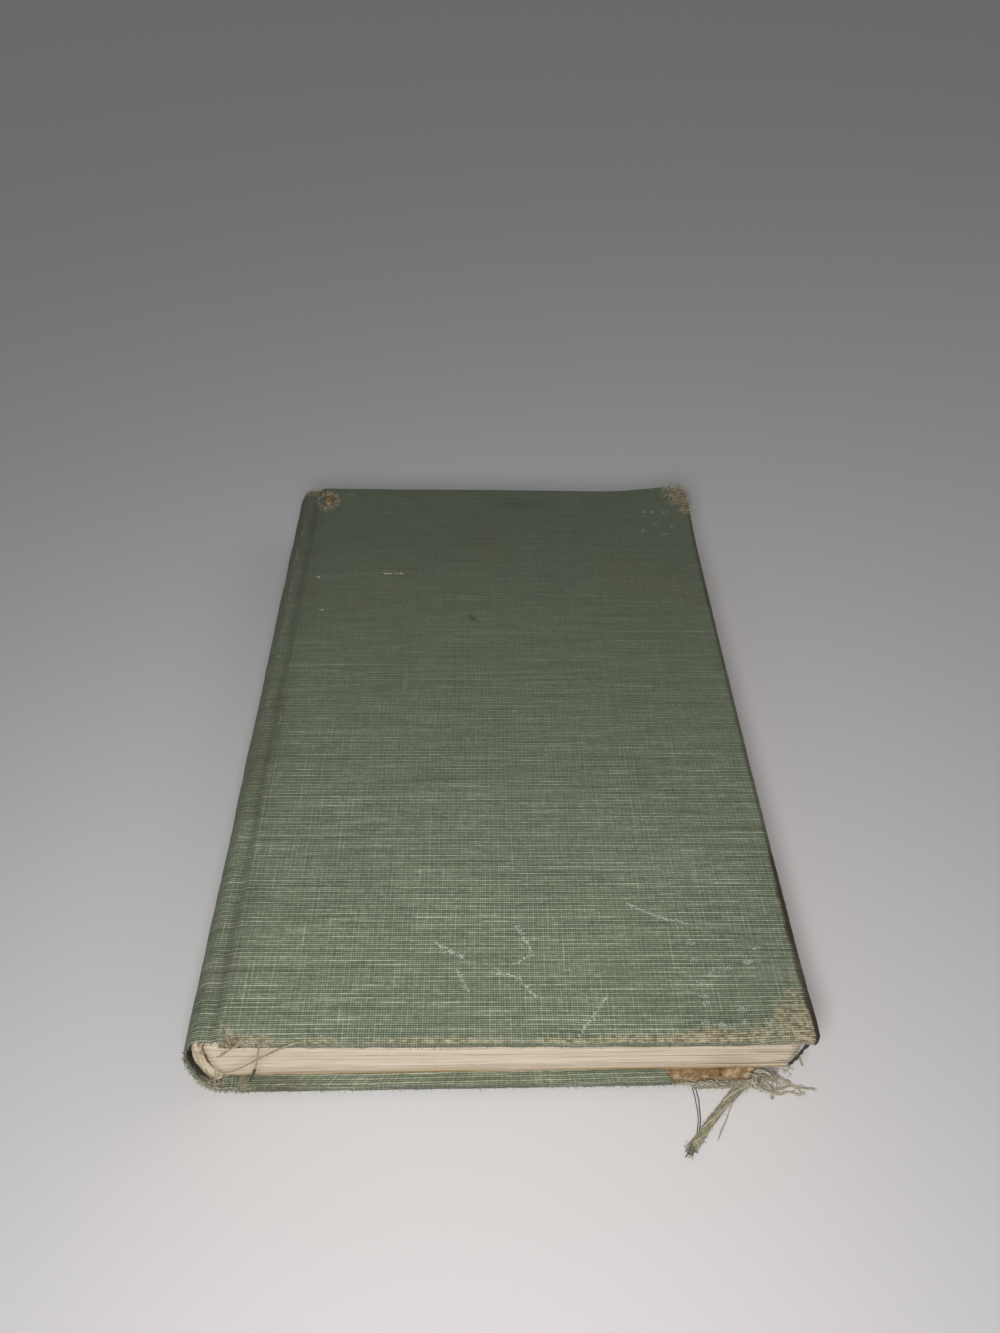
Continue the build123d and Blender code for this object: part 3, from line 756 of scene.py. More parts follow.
def add_board(name, place, flip, outline, seed):
    """A board under the cloth, with soft fibrous edges where it is bare."""
    inset, top, foot = cloth_depth, cloth_depth + 0.02, cover_depth - cloth_depth
    face_insets = [58, 40, 25, 16, 11, 8, 6, 4.5, 3.2, 2.2, 1.4, 0.8]
    side_insets = [0.4, 0.12, 0, 0.05, 0, 0.06, 0, 0.1]
    side_depths = [top + down for down in (0.08, 0.3, 0.6, 0.9, 1.15, 1.4, 1.7, 2.05)]
    insets = np.array(face_insets + side_insets + [0.4, 1, 3, 8, 16, 40, 58])
    depths = np.array([top] * 12 + side_depths + [foot - 0.08] + [foot] * 6)
    half_x, half_y = half_width - inset, half_length - inset
    x, y, depth, uv = slab_rings(insets, depths, outline, half_x, half_y)[:4]
    coarse = noise(x / 0.9, y / 0.9 + depth * 2, seed)
    fine = noise(x / 0.35, y / 0.35 + depth * 4, seed + 1)
    rough = ease(1 - insets / 5)[:, None] * (0.18 * coarse + 0.10 * fine)
    points = place(x * (1 - 0.2 / half_x), y * (1 - 0.2 / half_y), depth + 0.6 * rough * (depth < 1.6))
    points = points + rough[..., None] * np.array([0.6, 0.6, 0.0]) * np.sign(np.stack([x, y, 0 * x], -1))
    rows, columns = len(insets), len(outline)
    caps = [np.arange(columns), (np.arange(columns) + (rows - 1) * columns)[::-1]]
    faces = grid_faces(rows, columns, closed=True)
    return add_mesh(name, points, faces, board_stuff, uv=uv, caps=caps, flip=flip)


def broken_outline(outline, half_x, half_y):
    """An outline whose tail end of the fore-edge is broken off along a ragged line."""
    lost_x, lost_y = 11.2, 14.0
    x, y = outline[:, 0], outline[:, 1]
    short = (half_x - x) / lost_x + (half_y + y) / lost_y
    cut = np.clip(1 - short, 0, 1)
    ragged = 0.10 * noise(x / 1.5, y / 1.5, 81) * (cut > 0)
    return outline + (cut + ragged)[:, None] * np.array([[-lost_x, lost_y]]) * 0.5


board_half = (half_width - cloth_depth, half_length - cloth_depth)
front_outline = rounded_outline(640, *board_half, (2.4, 3.4, 1.4, 1.8))
back_outline = broken_outline(rounded_outline(640, *board_half, (0.6, 2.4, 1.4, 1.4)), *board_half)
front_board = add_board("front_cover_board", place_front, False, front_outline, 91)
back_board = add_board("back_cover_board", place_back, True, back_outline, 93)
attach(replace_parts(front_board, "front_board"), "front_cover")
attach(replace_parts(back_board, "back_board"), "back_cover")


def add_pastedown(name, place, flip, broken):
    """Endpaper pasted inside a cover. It steps up over the turn-ins, and shows their edges as a ridge."""
    half_x, half_y = paste_high[0], paste_high[1]
    steps_x, steps_y = 150, 220
    x, y = np.meshgrid(np.linspace(-half_x, half_x, steps_x), np.linspace(-half_y, half_y, steps_y),
                       indexing="ij")
    board_face, step = 2.93, 0.32
    step_x, step_y = half_width - turn_in - 0.7, half_length - turn_in - 0.7
    over = np.maximum(ease((x - step_x) / 1.2), ease((abs(y) - step_y) / 1.2))
    shape = place(x, y, board_face + step * over + 0.03 * noise(x / 7, y / 7, 101))
    edge = np.minimum(half_x - abs(x), half_y - abs(y))
    brown = 0.9 * np.exp(-edge / 9) + 0.35 * over + 0.25 * noise(x / 30, y / 30, 102)
    keep = np.ones((steps_x - 1, steps_y - 1), bool)
    if broken:
        short = (half_width - x) / 13.5 + (half_length + y) / 16.5 + 0.12 * noise(x / 1.6, y / 1.6, 103)
        keep = short[:-1, :-1] > 1
    return add_sheet(name, shape, end_stuff, 0.12, flip=flip, keep=keep, uv=np.stack([x, y], -1),
                     masks={"brown": np.clip(brown, 0, 1)})


front_paste = add_pastedown("front_cover_pastedown", place_front, False, False)
back_paste = add_pastedown("back_cover_pastedown", place_back, True, True)
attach(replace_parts(front_paste, "front_pastedown"), "front_cover")
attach(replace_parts(back_paste, "back_pastedown"), "back_cover")


# ---------------------------------------------------------------- pages


def front_plane(x, depth):
    """Height at x of the surface at a depth inside the front cover's flat face."""
    return joint_top - (x - joint_x) * np.tan(tilt) - depth / cos(tilt)


foot_x = leaf_low[0] - 0.4
tip_x = foot_x - shoulder_width
fore_x = leaf_high[0]
page_half = page_high[1]


def add_pages():
    """The sewn pages, leaf on leaf: each level is a rectangle with a rounded back and a swollen fore-edge.

    Each leaf and each section of leaves stands a little in or out, and the lines between them wave.
    """
    leaves, around, sections, stack_height = 190, 340, 11, 18.4
    level = np.linspace(0, 1, leaves)
    rng = np.random.default_rng(111)
    section = np.minimum((level * sections + 0.25 * np.sin(9 * level)).astype(int), sections - 1)
    starts = np.concatenate([[0], np.diff(section)]) > 0
    offset = {side: 0.16 * rng.uniform(-1, 1, sections)[section] + 0.05 * rng.uniform(-1, 1, leaves)
              - 0.22 * starts for side in ("tail", "fore", "head")}
    rise = 4 * level * (1 - level)
    back_x = tip_x - (tip_x - page_low[0]) * rise
    front_x = fore_x - 0.1 + 0.7 * rise + offset["fore"]
    low_y, high_y = -page_half + 0.15 - offset["tail"], page_half - 0.15 + offset["head"]
    # A way round the four sides: tail, fore-edge, head and back
    length = np.array([128.0, 192.0, 128.0, 192.0])
    distance = np.linspace(0, length.sum(), around, endpoint=False)
    spots = np.interp(distance, np.concatenate([[0], np.cumsum(length)]), np.arange(5))
    side, share = spots.astype(int), spots % 1
    share = share[None] + 0 * level[:, None]
    x0, x1, y0, y1 = (a[:, None] for a in (back_x, front_x, low_y, high_y))
    on_side = [side == k for k in range(4)]
    x = np.select(on_side, [x0 + (x1 - x0) * share, x1 + 0 * share, x1 + (x0 - x1) * share, x0 + 0 * share])
    y = np.select(on_side, [y0 + 0 * share, y0 + (y1 - y0) * share, y1 + 0 * share, y1 + (y0 - y1) * share])
    shoulder = shoulder_height * np.clip((foot_x - x) / shoulder_width, 0, 1)
    run = distance[None] + 0 * x
    t = level[:, None]
    wave = (0.10 * noise(run / 22, t * 5, 112) + 0.04 * noise(run / 6, t * 12, 113)) * rise[:, None]
    low_z = page_depth - shoulder
    high_z = front_plane(x, page_depth) + shoulder
    z = low_z + (high_z - low_z) * t + wave
    inward = 0.08 * noise(run / 9, t * 40, 114, 2)
    y = y - np.sign(y) * abs(inward) * (side[None] % 2 == 0)
    x = x - abs(inward) * (side[None] == 1)
    # Painted shade in the gaps: between sections, under a few single leaves, and along a slanted line near
    # the fore-edge at the tail.
    between = 0.75 * starts[:, None] * (0.6 + 0.5 * noise(run / 15, t * 3, 115))
    gap = between + 0.3 * (rng.uniform(0, 1, leaves) > 0.93)[:, None]
    slant = ease((x - 55) / 4) * np.exp(-(((t - 0.17) / 0.03) ** 2)) * (side[None] == 0)
    gap = np.clip(np.maximum(gap, 0.9 * slant), 0, 1)
    sides = np.stack([x, y, z], -1)

    def leaf_face(edge, upper):
        """Rings from one face's edge to its middle, on the flat plane and the shoulder beside the spine."""
        insets = np.array([0.3, 0.7, 1.1, 1.5, 1.9, 2.6, 6.0, 20.0, 40.0, 60.0])[:, None]
        middle = (page_low[0] + fore_x) / 2
        in_x = middle + (edge[None, :, 0] - middle) * (1 - insets / (fore_x - middle))
        in_y = edge[None, :, 1] * (1 - insets / page_half)
        step = shoulder_height * np.clip((foot_x - in_x) / shoulder_width, 0, 1)
        in_z = front_plane(in_x, page_depth) + step - 0.03 if upper else page_depth - step + 0.03
        return np.stack([in_x, in_y, in_z], -1)

    bottom, top = leaf_face(sides[0], False)[::-1], leaf_face(sides[-1], True)
    points = np.concatenate([bottom, sides, top])
    rows = len(points)
    caps = [np.arange(around), (np.arange(around) + (rows - 1) * around)[::-1]]
    added = ((len(bottom), len(top)), (0, 0))
    uv = np.pad(np.stack([run, t * stack_height + 0 * run], -1), added + ((0, 0),), "edge")
    gap = np.pad(gap, added)
    return add_mesh("pages", points, grid_faces(rows, around, closed=True), page_stuff, uv=uv,
                    masks={"gap": gap}, caps=caps, flip=True)


pages = add_pages()
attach(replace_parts(pages, "text_block"), "text_block")


def add_flyleaf(name, front):
    """A loose endpaper on the pages, slightly cockled along its edges. Its face is 0.16 mm off theirs."""
    x, y = np.meshgrid(np.linspace(leaf_low[0], fore_x, 110), np.linspace(-page_half, page_half, 160),
                       indexing="ij")
    edge = np.minimum(fore_x - x, page_half - abs(y))
    cockle = 0.03 * noise(x / 9, y / 9, 121 + front) * ease(1 - edge / 14)
    ragged = abs(0.12 * noise(x / 3, y / 3, 123 + front))
    depth = page_depth - 0.16
    outer = front_plane(x, depth) if front else depth + 0 * x
    shape = np.stack([x - ragged * (x > fore_x - 1), y - np.sign(y) * ragged * (abs(y) > page_half - 1),
                      outer + cockle], -1)
    brown = 0.95 * np.exp(-edge / 7) + 0.25 * noise(x / 30, y / 30, 125)
    return add_sheet(name, shape, end_stuff, 0.13, flip=front, uv=np.stack([x + 300 * front, y], -1),
                     masks={"brown": np.clip(brown, 0, 1)})


front_leaf = add_flyleaf("front_loose_endpaper", True)
back_leaf = add_flyleaf("back_loose_endpaper", False)
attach(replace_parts(front_leaf, "front_flyleaf"), "text_block")
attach(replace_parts(back_leaf, "back_flyleaf"), "text_block")


# ---------------------------------------------------------------- spine


ridge_x = spine_low[0] + spine_bulge
spine_half = (spine_high[2] - spine_low[2]) / 2
spine_mid = (spine_high[2] + spine_low[2]) / 2


def oval(angle, radius_x, radius_z, centre_x, centre_z):
    """x and z of points on the spine side of an oval. Angle 0 is at the top and pi at the bottom."""
    return centre_x - radius_x * np.sin(angle), centre_z + radius_z * np.cos(angle)


# The outline of the cloth from the front cover over the spine to the back cover
joint_steps, spine_steps = 26, 66
half_turn = np.linspace(0.10, pi - 0.10, spine_steps)
spine_x, spine_z = oval(half_turn, spine_bulge - 0.03, spine_half, ridge_x, spine_mid)
groove = [(cloth_start, 0), (-62.3, 0.10), (-63.2, 0.55), (-64.2, 0.95), (-65.2, 0.80)]
into_joint = curve_through([(x, joint_top - down) for x, down in groove] + [(spine_x[0], spine_z[0])],
                           joint_steps)
out_of_joint = (into_joint * [1, -1] + [0, joint_top])[::-1]
wrap_path = np.vstack([into_joint[:-1], np.stack([spine_x, spine_z], 1), out_of_joint[1:]])
wrap_run = np.concatenate([[0], np.cumsum(np.linalg.norm(np.diff(wrap_path, axis=0), axis=1))])
whole_run = wrap_run[-1]
heading = np.gradient(wrap_path, wrap_run, axis=0)
wrap_normal = np.stack([heading[:, 1], -heading[:, 0]], 1) / np.linalg.norm(heading, axis=1, keepdims=True)
turns = (joint_steps - 1, joint_steps + spine_steps - 2)
parts_at = {"front": slice(0, turns[0] + 1), "spine": slice(turns[0], turns[1] + 1),
            "back": slice(turns[1], None)}


def add_wrap(name, part, roll):
    """One stretch of the cloth that runs from the front cover over the spine to the back cover.

    Its outline is carried along the book. At each end it rolls inward over half a circle of the given
    thickness and runs back inside, as the turned-in cloth does.
    """
    where = parts_at[part]
    path, normal, run = wrap_path[where], wrap_normal[where], wrap_run[where][:, None]
    from_end = np.minimum(run, whole_run - run)
    end = np.array([11, 7, 3, 1.3, 0.6, 0.2, 0.0, 0.1, 0.35, 0.8])
    inward = np.array([1, 1, 1, 1, 0.93, 0.75, 0.5, 0.22, 0.06, 0.0])
    thick = roll + 1.7 * ease(1 - from_end / 3.0)
    body = np.linspace(-1, 1, 330) * (half_length - 1.3)
    y = np.concatenate([end - half_length, body, (half_length - end)[::-1]])[None] + 0 * run
    inward = np.concatenate([inward, 0 * body, inward[::-1]])[None] * thick
    ragged = [0.15 + 0.35 * (1 + noise(run / 1.1, 0 * run + k, 131 + k)) for k in (0, 1)]
    y = np.where(y < 0, y + ragged[0] * ease((-y - 80) / 15), y - ragged[1] * ease((y - 80) / 15))
    dent = 0.16 * noise(y / 18, run / 6, 133) + 0.10 * noise(y / 5, run / 3, 134, 2)
    dent = dent * np.clip(from_end / 2, 0, 1) * (inward < 0.01)
    out = dent - inward
    x = path[:, :1] + normal[:, :1] * out
    z = np.maximum(path[:, 1:] + normal[:, 1:] * out, 0.02)
    edge = np.minimum(half_length + y, half_length - y) - 0.9 * inward
    ridge_run, groove_run = 5.6, 2.9
    ridge = np.minimum(abs(run - ridge_run), abs(whole_run - ridge_run - run))
    wear = (0.27 + 0.22 * noise(y / 9, run / 2, 135)) * np.exp(-((ridge / 1.2) ** 2))
    wear = np.maximum(wear, 0.5 * np.exp(-(((run - 6.2) / 1.2) ** 2)) * np.exp(-(((y - 62) / 9) ** 2)))
    wear = np.maximum(wear, (0.55 + 0.25 * noise(run / 2, y, 136)) * np.exp(-np.maximum(edge, 0) / 0.8))
    wear = np.maximum(wear, 0.85 * ease(1 - np.hypot((y - 98) / 7, (run - 5) / 7)))
    wear = np.maximum(wear, 0.7 * ease(1 - np.hypot((y + 98) / 4, (run - whole_run + 9) / 7)))
    # Painted shade: the spine cloth's turned-in ends are darkened for the dark gap inside them, and the
    # joint groove for its crease.
    painted_inner_shade = 0.85 * (part == "spine") * ease((inward / thick - 0.9) / 0.1)
    painted_groove_shade = 0.2 * np.exp(-((run - groove_run) ** 2))
    dirt = np.clip(painted_inner_shade + 0.14 + 0.16 * noise(y / 25, run / 6, 137) + painted_groove_shade, 0, 1)
    uv = np.stack([cloth_start - run + 0 * y, y], -1)
    return add_sheet(name, np.stack([x, y, z], -1), cloth, 0.22, flip=True, uv=uv,
                     masks={"wear": wear, "dirt": dirt})


def add_shell(name, material, radius_x, radius_z, centre_x, centre_z, limit, ends, thickness, seed, ragged):
    """A curved strip behind the pages: half an oval, from the limit angle to its mirror, with torn ends."""
    columns, rows = 50, 160
    angle, share = np.meshgrid(np.linspace(limit, pi - limit, columns), np.linspace(-1, 1, rows),
                               indexing="ij")
    torn = ragged * (0.5 + 0.5 * noise(angle * 5, share * 0 + seed, seed))
    y = share * (ends - torn * ease((abs(share) - 0.9) * 10))
    bump = 0.05 * noise(y / 8, angle * 4, seed + 1)
    x, z = oval(angle, radius_x + bump, radius_z + 0.3 * bump, centre_x, centre_z)
    uv = np.stack([angle * 9, y], -1)
    return add_sheet(name, np.stack([x, y, z], -1), material, thickness, flip=True, uv=uv)


spine_cover = add_wrap("spine_cloth_cover", "spine", 0.55)
lining_x, lining_z = lining_low[0] + 3.35, (lining_low[2] + lining_high[2]) / 2
inlay = add_shell("spine_card_painted_shade", shaded_card_stuff, 5.3, spine_half - 0.45, ridge_x, spine_mid, 0.42,
                  half_length - 4.0, 0.8, 141, 1.2)
lining = add_shell("spine_paper_lining", lining_stuff, 4.2, 11.3, lining_x, lining_z, 0.42,
                   lining_high[1] + 1.9, 2.0, 143, 0.7)
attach(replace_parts(spine_cover, "spine_cloth"), "text_block")
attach(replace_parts(inlay, "spine_inlay"), "text_block")
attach(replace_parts(lining, "spine_lining"), "text_block")
glue = add_shell("hide_glue", glue_stuff, 2.25, 10.9, lining_x, lining_z, 0.5,
                 page_half + 0.15, 0.5, 145, 0.5)
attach(glue, "text_block")
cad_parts["spine_gauze"].data.materials.clear()
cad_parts["spine_gauze"].data.materials.append(gauze_stuff)


for side in ("front", "back"):
    joint_cloth = add_wrap(side + "_joint_cloth", side, 0.8)
    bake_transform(joint_cloth)


def add_gutter(name, front):
    """The endpaper's fold, from the loose leaf up against the joint cloth and back down to the pastedown."""
    path = curve_through([(-63.7, 22.06), (-64.15, 22.5), (-64.2, 23.0), (-63.7, 23.3), (-63.05, 23.1),
                          (-62.7, 22.62), (-61.8, 22.46), (-59.0, 22.42)], 30)
    y = np.linspace(-paste_high[1], paste_high[1], 120)
    x = path[:, 0][:, None] + 0 * y
    z = path[:, 1][:, None] + 0.04 * noise(y[None] / 12 + 0 * x, x, 161)
    z = z if front else joint_top - z
    uv = np.stack([x, y[None] + 0 * x], -1)
    piece = add_sheet(name, np.stack([x, y[None] + 0 * x, z], -1), end_stuff, 0.12, flip=front, uv=uv,
                      masks={"brown": 0.55 + 0.3 * noise(uv[..., 1] / 15, x, 162)})
    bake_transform(piece)


add_gutter("front_endpaper_fold", True)
add_gutter("back_endpaper_fold", False)


# ---------------------------------------------------------------- frayed cloth and loose threads


def add_threads(name, body, material, paths, radii, **details):
    """Loose threads that move with a body. None reaches below the surface that the book lies on."""
    paths = np.array(paths, float)
    paths[..., 2] = np.maximum(paths[..., 2], 0.1)
    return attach(add_strands(name, paths, radii, material, **details), body)


def flecks(lines, seed):
    """Short raised fibres scattered along lines on the front cover, mostly lying along the weft.

    A line is its two ends, how many fibres it has, how far they stray and how long they are.
    """
    rng = np.random.default_rng(seed)
    groups = []
    s = np.linspace(-0.5, 0.5, 5)[None]
    for x0, y0, x1, y1, count, stray, length in lines:
        dashes = max(1, round(np.hypot(x1 - x0, y1 - y0)))
        t = (rng.integers(0, dashes, (count, 1)) + rng.normal(0.5, 0.2, (count, 1))) / dashes
        x = x0 + (x1 - x0) * t + rng.normal(0, stray, (count, 1))
        y = y0 + (y1 - y0) * t + rng.normal(0, stray, (count, 1))
        turn, size = rng.normal(0, 0.5, (count, 1)), length * rng.uniform(0.4, 1.2, (count, 1))
        bend = rng.uniform(-0.3, 0.3, (count, 1)) * size * (1 - 4 * s**2)
        groups.append(place_front(x + s * size * np.cos(turn), y + s * size * np.sin(turn) + bend,
                                  -(0.05 + 0.09 * (1 - 4 * s**2) * rng.uniform(0.3, 1, (count, 1)))))
    return np.concatenate(groups)


scratches = [(-18.6, -75.8, -12, -79.5, 60, 0.26, 0.9), (-13.6, -82.5, -11, -87.2, 34, 0.26, 0.8),
             (-0.6, -70.8, 3.4, -78.5, 50, 0.2, 0.8), (3.4, -78.5, -1.3, -81.2, 26, 0.22, 0.8),
             (-4.6, -82.8, 0, -84.5, 30, 0.24, 0.9), (0, -84.5, 4, -89.2, 44, 0.22, 0.8),
             (25.4, -65.8, 32, -69.2, 44, 0.18, 0.8), (32, -69.2, 39, -71.2, 44, 0.18, 0.9),
             (18.7, -88.5, 12, -97.5, 66, 0.14, 0.7), (-39, 52.3, -32.5, 52.3, 22, 0.12, 1.4),
             (-59, 50.5, -58.2, 50.5, 10, 0.2, 0.7), (-56.4, 35, -55.4, 35, 8, 0.2, 0.6)]
# Pale specks, densest towards each corner of the fore-edge
tail_shares = np.random.default_rng(168).uniform(0, 1, (16, 2))
tail_specks = np.array([38, -95.5]) + np.array([15, 21]) * tail_shares ** [0.9, 1.6]
head_specks = np.array([43, 72]) + np.array([14, 18]) * np.random.default_rng(169).uniform(0, 1, (9, 2))
scratches += [(x - 0.8, y - 0.2, x + 0.9, y + 0.2, 34, 0.3, 0.22) for x, y in tail_specks]
scratches += [(x - 0.8, y - 0.2, x + 0.9, y + 0.2, 14, 0.3, 0.22) for x, y in head_specks]
fibres = flecks(scratches, 171)
fibre_radii = np.random.default_rng(172).uniform(0.06, 0.12, len(fibres))
add_threads("scratch_fibres", "front_cover", rubbed_thread, fibres, fibre_radii, sides=3)


def scatter(count, low, high, seed):
    """Random points in a box, from its low to its high corner."""
    return np.random.default_rng(seed).uniform(low, high, (count, 3))


def fuzz(name, body, material, roots, lean, spread, lengths, radii, curl, seed, sag=0.15, steps=7):
    """Frayed ends at the roots, leaning one way with some spread.

    lengths and radii are the least and the most, in millimetres. curl is the greatest bend, in radians.
    """
    rng = np.random.default_rng(seed)
    count = len(roots)
    headings = np.array(lean, float) + rng.normal(0, spread, (count, 3))
    paths = hairs(roots, headings, rng.uniform(*lengths, count), curl, seed + 1, steps, sag)
    return add_threads(name, body, material, paths, rng.uniform(*radii, count), sides=3, seed=seed)


# Frayed corner at the head end of the fore-edge, and the worn hole and corner at the spine edge
head_spots = scatter(420, (0, 0, 0.1), (1, 1, 1.6), 181)
share_a, share_b, deep = head_spots.T
across = 0.35 + 0.85 * share_a
corner_roots = place_front(half_width - 9.5 * across * share_b + 0.3,
                           half_length - 13 * across * (1 - share_b) + 0.3, deep)
fuzz("head_corner_fuzz", "front_cover", pale_thread, corner_roots, (0.5, 0.5, 0.5), 0.7, (0.8, 3.2),
     (0.04, 0.08), 1.3, 182)
corner_loops = place_front(60.5 - 5 * share_a[:16], 96.5 - 7 * share_b[:16], 0.2)
fuzz("head_corner_loops", "front_cover", pale_thread, corner_loops, (0.6, 0.5, 0.5), 0.6, (3.5, 6.0),
     (0.07, 0.10), 2.2, 184, 0.1, 14)
turn = 2 * pi * share_a[:200]
reach = 0.9 + 0.3 * share_b[:200]
rim_roots = place_front(-60.3 + 2.9 * np.cos(turn) * reach, 90.8 + 3.8 * np.sin(turn) * reach, 0.05)
fuzz("worn_hole_fuzz", "front_cover", pale_thread, rim_roots, (0, 0, 0.25), 0.7, (0.5, 1.7), (0.04, 0.07),
     1.2, 186)
foot_roots = place_front(-62.4 + 11 * share_a[:220] ** 1.5,
                         -98.2 + 3.0 * share_b[:220] * (1 - share_a[:220]), 0.1)
fuzz("foot_corner_fuzz", "front_cover", pale_thread, foot_roots, (0.1, -0.4, 0.1), 0.6, (0.4, 1.6),
     (0.04, 0.07), 1.2, 188)

# Short fuzz along the covers' worn edges: places from -1 to 1 along an edge, and shares of its depth
edge_place, edge_share, _ = scatter(700, (-1, 0, 0), (1, 1, 1), 191).T
tail_roots = place_front(61 * edge_place, 0.1 - half_length + 0 * edge_place, 0.4 + 2.4 * edge_share**2)
fuzz("tail_edge_fuzz", "front_cover", green_thread, tail_roots, (0, -0.7, -0.3), 0.5, (0.25, 0.8),
     (0.03, 0.05), 1.0, 192)
fore_roots = place_front(half_width - 0.2 + 0 * edge_place[:260], 92 * edge_place[:260],
                         0.5 + 2 * edge_share[:260])
fuzz("fore_edge_fuzz", "front_cover", green_thread, fore_roots, (0.8, 0, 0.1), 0.5, (0.25, 0.8),
     (0.03, 0.05), 1.0, 194)
low_roots = place_back(62 * edge_place, 0.1 - half_length + 0 * edge_place, 0.3 + 2.4 * edge_share)
low_roots = low_roots[low_roots[:, 0] < 33]
fuzz("back_tail_fuzz", "back_cover", green_thread, low_roots, (0, -0.7, -0.1), 0.5, (0.25, 0.8),
     (0.03, 0.05), 1.0, 196)


def spine_roots(count, y, run_low, run_high, seed):
    """Points on the spine's outline at one end of the book."""
    run = np.random.default_rng(seed).uniform(run_low, run_high, count)
    return np.stack([np.interp(run, wrap_run, wrap_path[:, 0]) + 0.2, y + 0 * run,
                     np.interp(run, wrap_run, wrap_path[:, 1])], 1)


fuzz("spine_head_fuzz", "text_block", pale_thread, spine_roots(260, 98.0, 1, whole_run - 1, 201),
     (0, 0.6, 0.2), 0.6, (0.4, 1.6), (0.035, 0.07), 1.2, 202)
fuzz("spine_tail_fuzz", "text_block", green_thread, spine_roots(200, -98.0, 1, whole_run - 1, 203),
     (0, -0.6, 0), 0.6, (0.3, 1.1), (0.035, 0.06), 1.1, 204)
fuzz("spine_foot_fuzz", "text_block", pale_thread, spine_roots(230, -98.0, whole_run - 13, whole_run, 205),
     (0.1, -0.5, 0.0), 0.6, (0.3, 1.2), (0.035, 0.065), 1.4, 206)
inside = scatter(150, (-70.2, -97.6, 2.0), (-65.0, -96.2, 7.0), 207)
inside = inside[inside[:, 2] - 2 < (inside[:, 0] + 71) * 1.2]
fuzz("spine_inner_fuzz", "text_block", pale_thread, inside, (0.2, -0.3, 0.1), 0.8, (0.5, 1.5), (0.04, 0.07),
     1.6, 208)

# Torn cloth and bared board at the tail end of the back cover's fore-edge
torn_a, torn_b, torn_c = scatter(900, (0, 0, 0), (1, 1, 1), 211).T
along = 33 + 24 * torn_a
torn_roots = np.stack([along, -98.3 + 1.3 * torn_b + 1.4 * ease((along - 50) / 8), 0.2 + 2.6 * torn_c], 1)
fuzz("torn_edge_fuzz", "back_cover", pale_thread, torn_roots[:340], (0.5, -0.25, -0.1), 0.7, (0.6, 2.2),
     (0.035, 0.075), 2.2, 212)
fuzz("board_edge_fibres", "back_cover", board_fibre, torn_roots[520:], (0.1, -0.6, 0.0), 0.6, (0.3, 1.1),
     (0.03, 0.07), 1.2, 214)
corner_torn = np.stack([51.5 + 10.5 * torn_a, -97.5 + 13 * torn_a * torn_b, 0.3 + 2.4 * torn_c], 1)[:190]
fuzz("broken_corner_fuzz", "back_cover", pale_thread, corner_torn, (0.6, -0.4, -0.1), 0.7, (0.6, 2.0),
     (0.04, 0.08), 2.0, 216)
tangle = np.stack([50.5 + 6.5 * torn_a, -98.0 + 1.6 * torn_b, 0.5 + 2.2 * torn_c], 1)[:34]
fuzz("torn_tangle", "back_cover", pale_thread, tangle, (0.5, -0.4, -0.1), 0.6, (2.5, 5.0), (0.07, 0.12),
     3.6, 218, 0.3, 18)


def add_route(name, body, material, routes, radius, strands=1, loose=0.0, seed=0, steps=40):
    """Threads along routes, each of a few plies that wind round one another and stray a little.

    A route is a list of points in the shared frame. loose is how far a ply strays, in millimetres.
    """
    rng = np.random.default_rng(seed)
    paths = []
    for route in routes:
        middle = curve_through(route, steps)
        t = np.linspace(0, 1, steps)
        for ply in range(strands):
            turn = 2 * pi * ply / strands + 14 * t
            wound = np.stack([np.cos(turn), np.sin(turn) * 0.7, np.sin(turn + 1)], 1)
            stray = [noise(t * 6 + 9 * ply, t * 0 + k, seed + 7 * ply + k, 2) for k in range(3)]
            stray = np.stack(stray, 1) * loose * np.minimum(1, t * 6)[:, None]
            paths.append(middle + wound * radius * 0.9 * (strands > 1) + stray)
    radii = radius * rng.uniform(0.7, 1.1, len(paths))
    return add_threads(name, body, material, paths, radii, sides=5, seed=seed)


# Loose threads at the tail, beside the spine
add_route("tail_thread_short", "front_cover", undyed_thread, [
    [(-57.6, -98.1, 25.2), (-58.6, -98.9, 24.6), (-61.0, -99.0, 22.1), (-63.6, -99.0, 19.2)],
], 0.12, 3, 0.3, 221)
add_route("tail_thread_long", "front_cover", undyed_thread, [
    [(-45.6, -98.2, 25.1), (-47.3, -99.1, 25.2), (-50.8, -99.2, 22.7), (-55.2, -99.2, 18.6),
     (-58.7, -99.2, 15.3), (-62.0, -99.1, 12.9), (-63.7, -99.0, 12.5)],
], 0.13, 2, 0.15, 223)
add_route("tail_thread_hanging", "front_cover", undyed_thread, [
    [(-53.0, -98.2, 25.2), (-53.6, -99.3, 25.4), (-54.3, -99.4, 22.0), (-55.3, -99.4, 18.0),
     (-56.8, -99.4, 13.2)],
], 0.14, 2, 0.12, 225)
add_route("tail_thread_dark_end", "front_cover", dark_thread, [
    [(-56.2, -99.5, 14.8), (-56.8, -99.5, 13.0), (-57.6, -99.5, 10.5), (-58.6, -99.4, 8.4)],
], 0.24, 3, 0.1, 227)

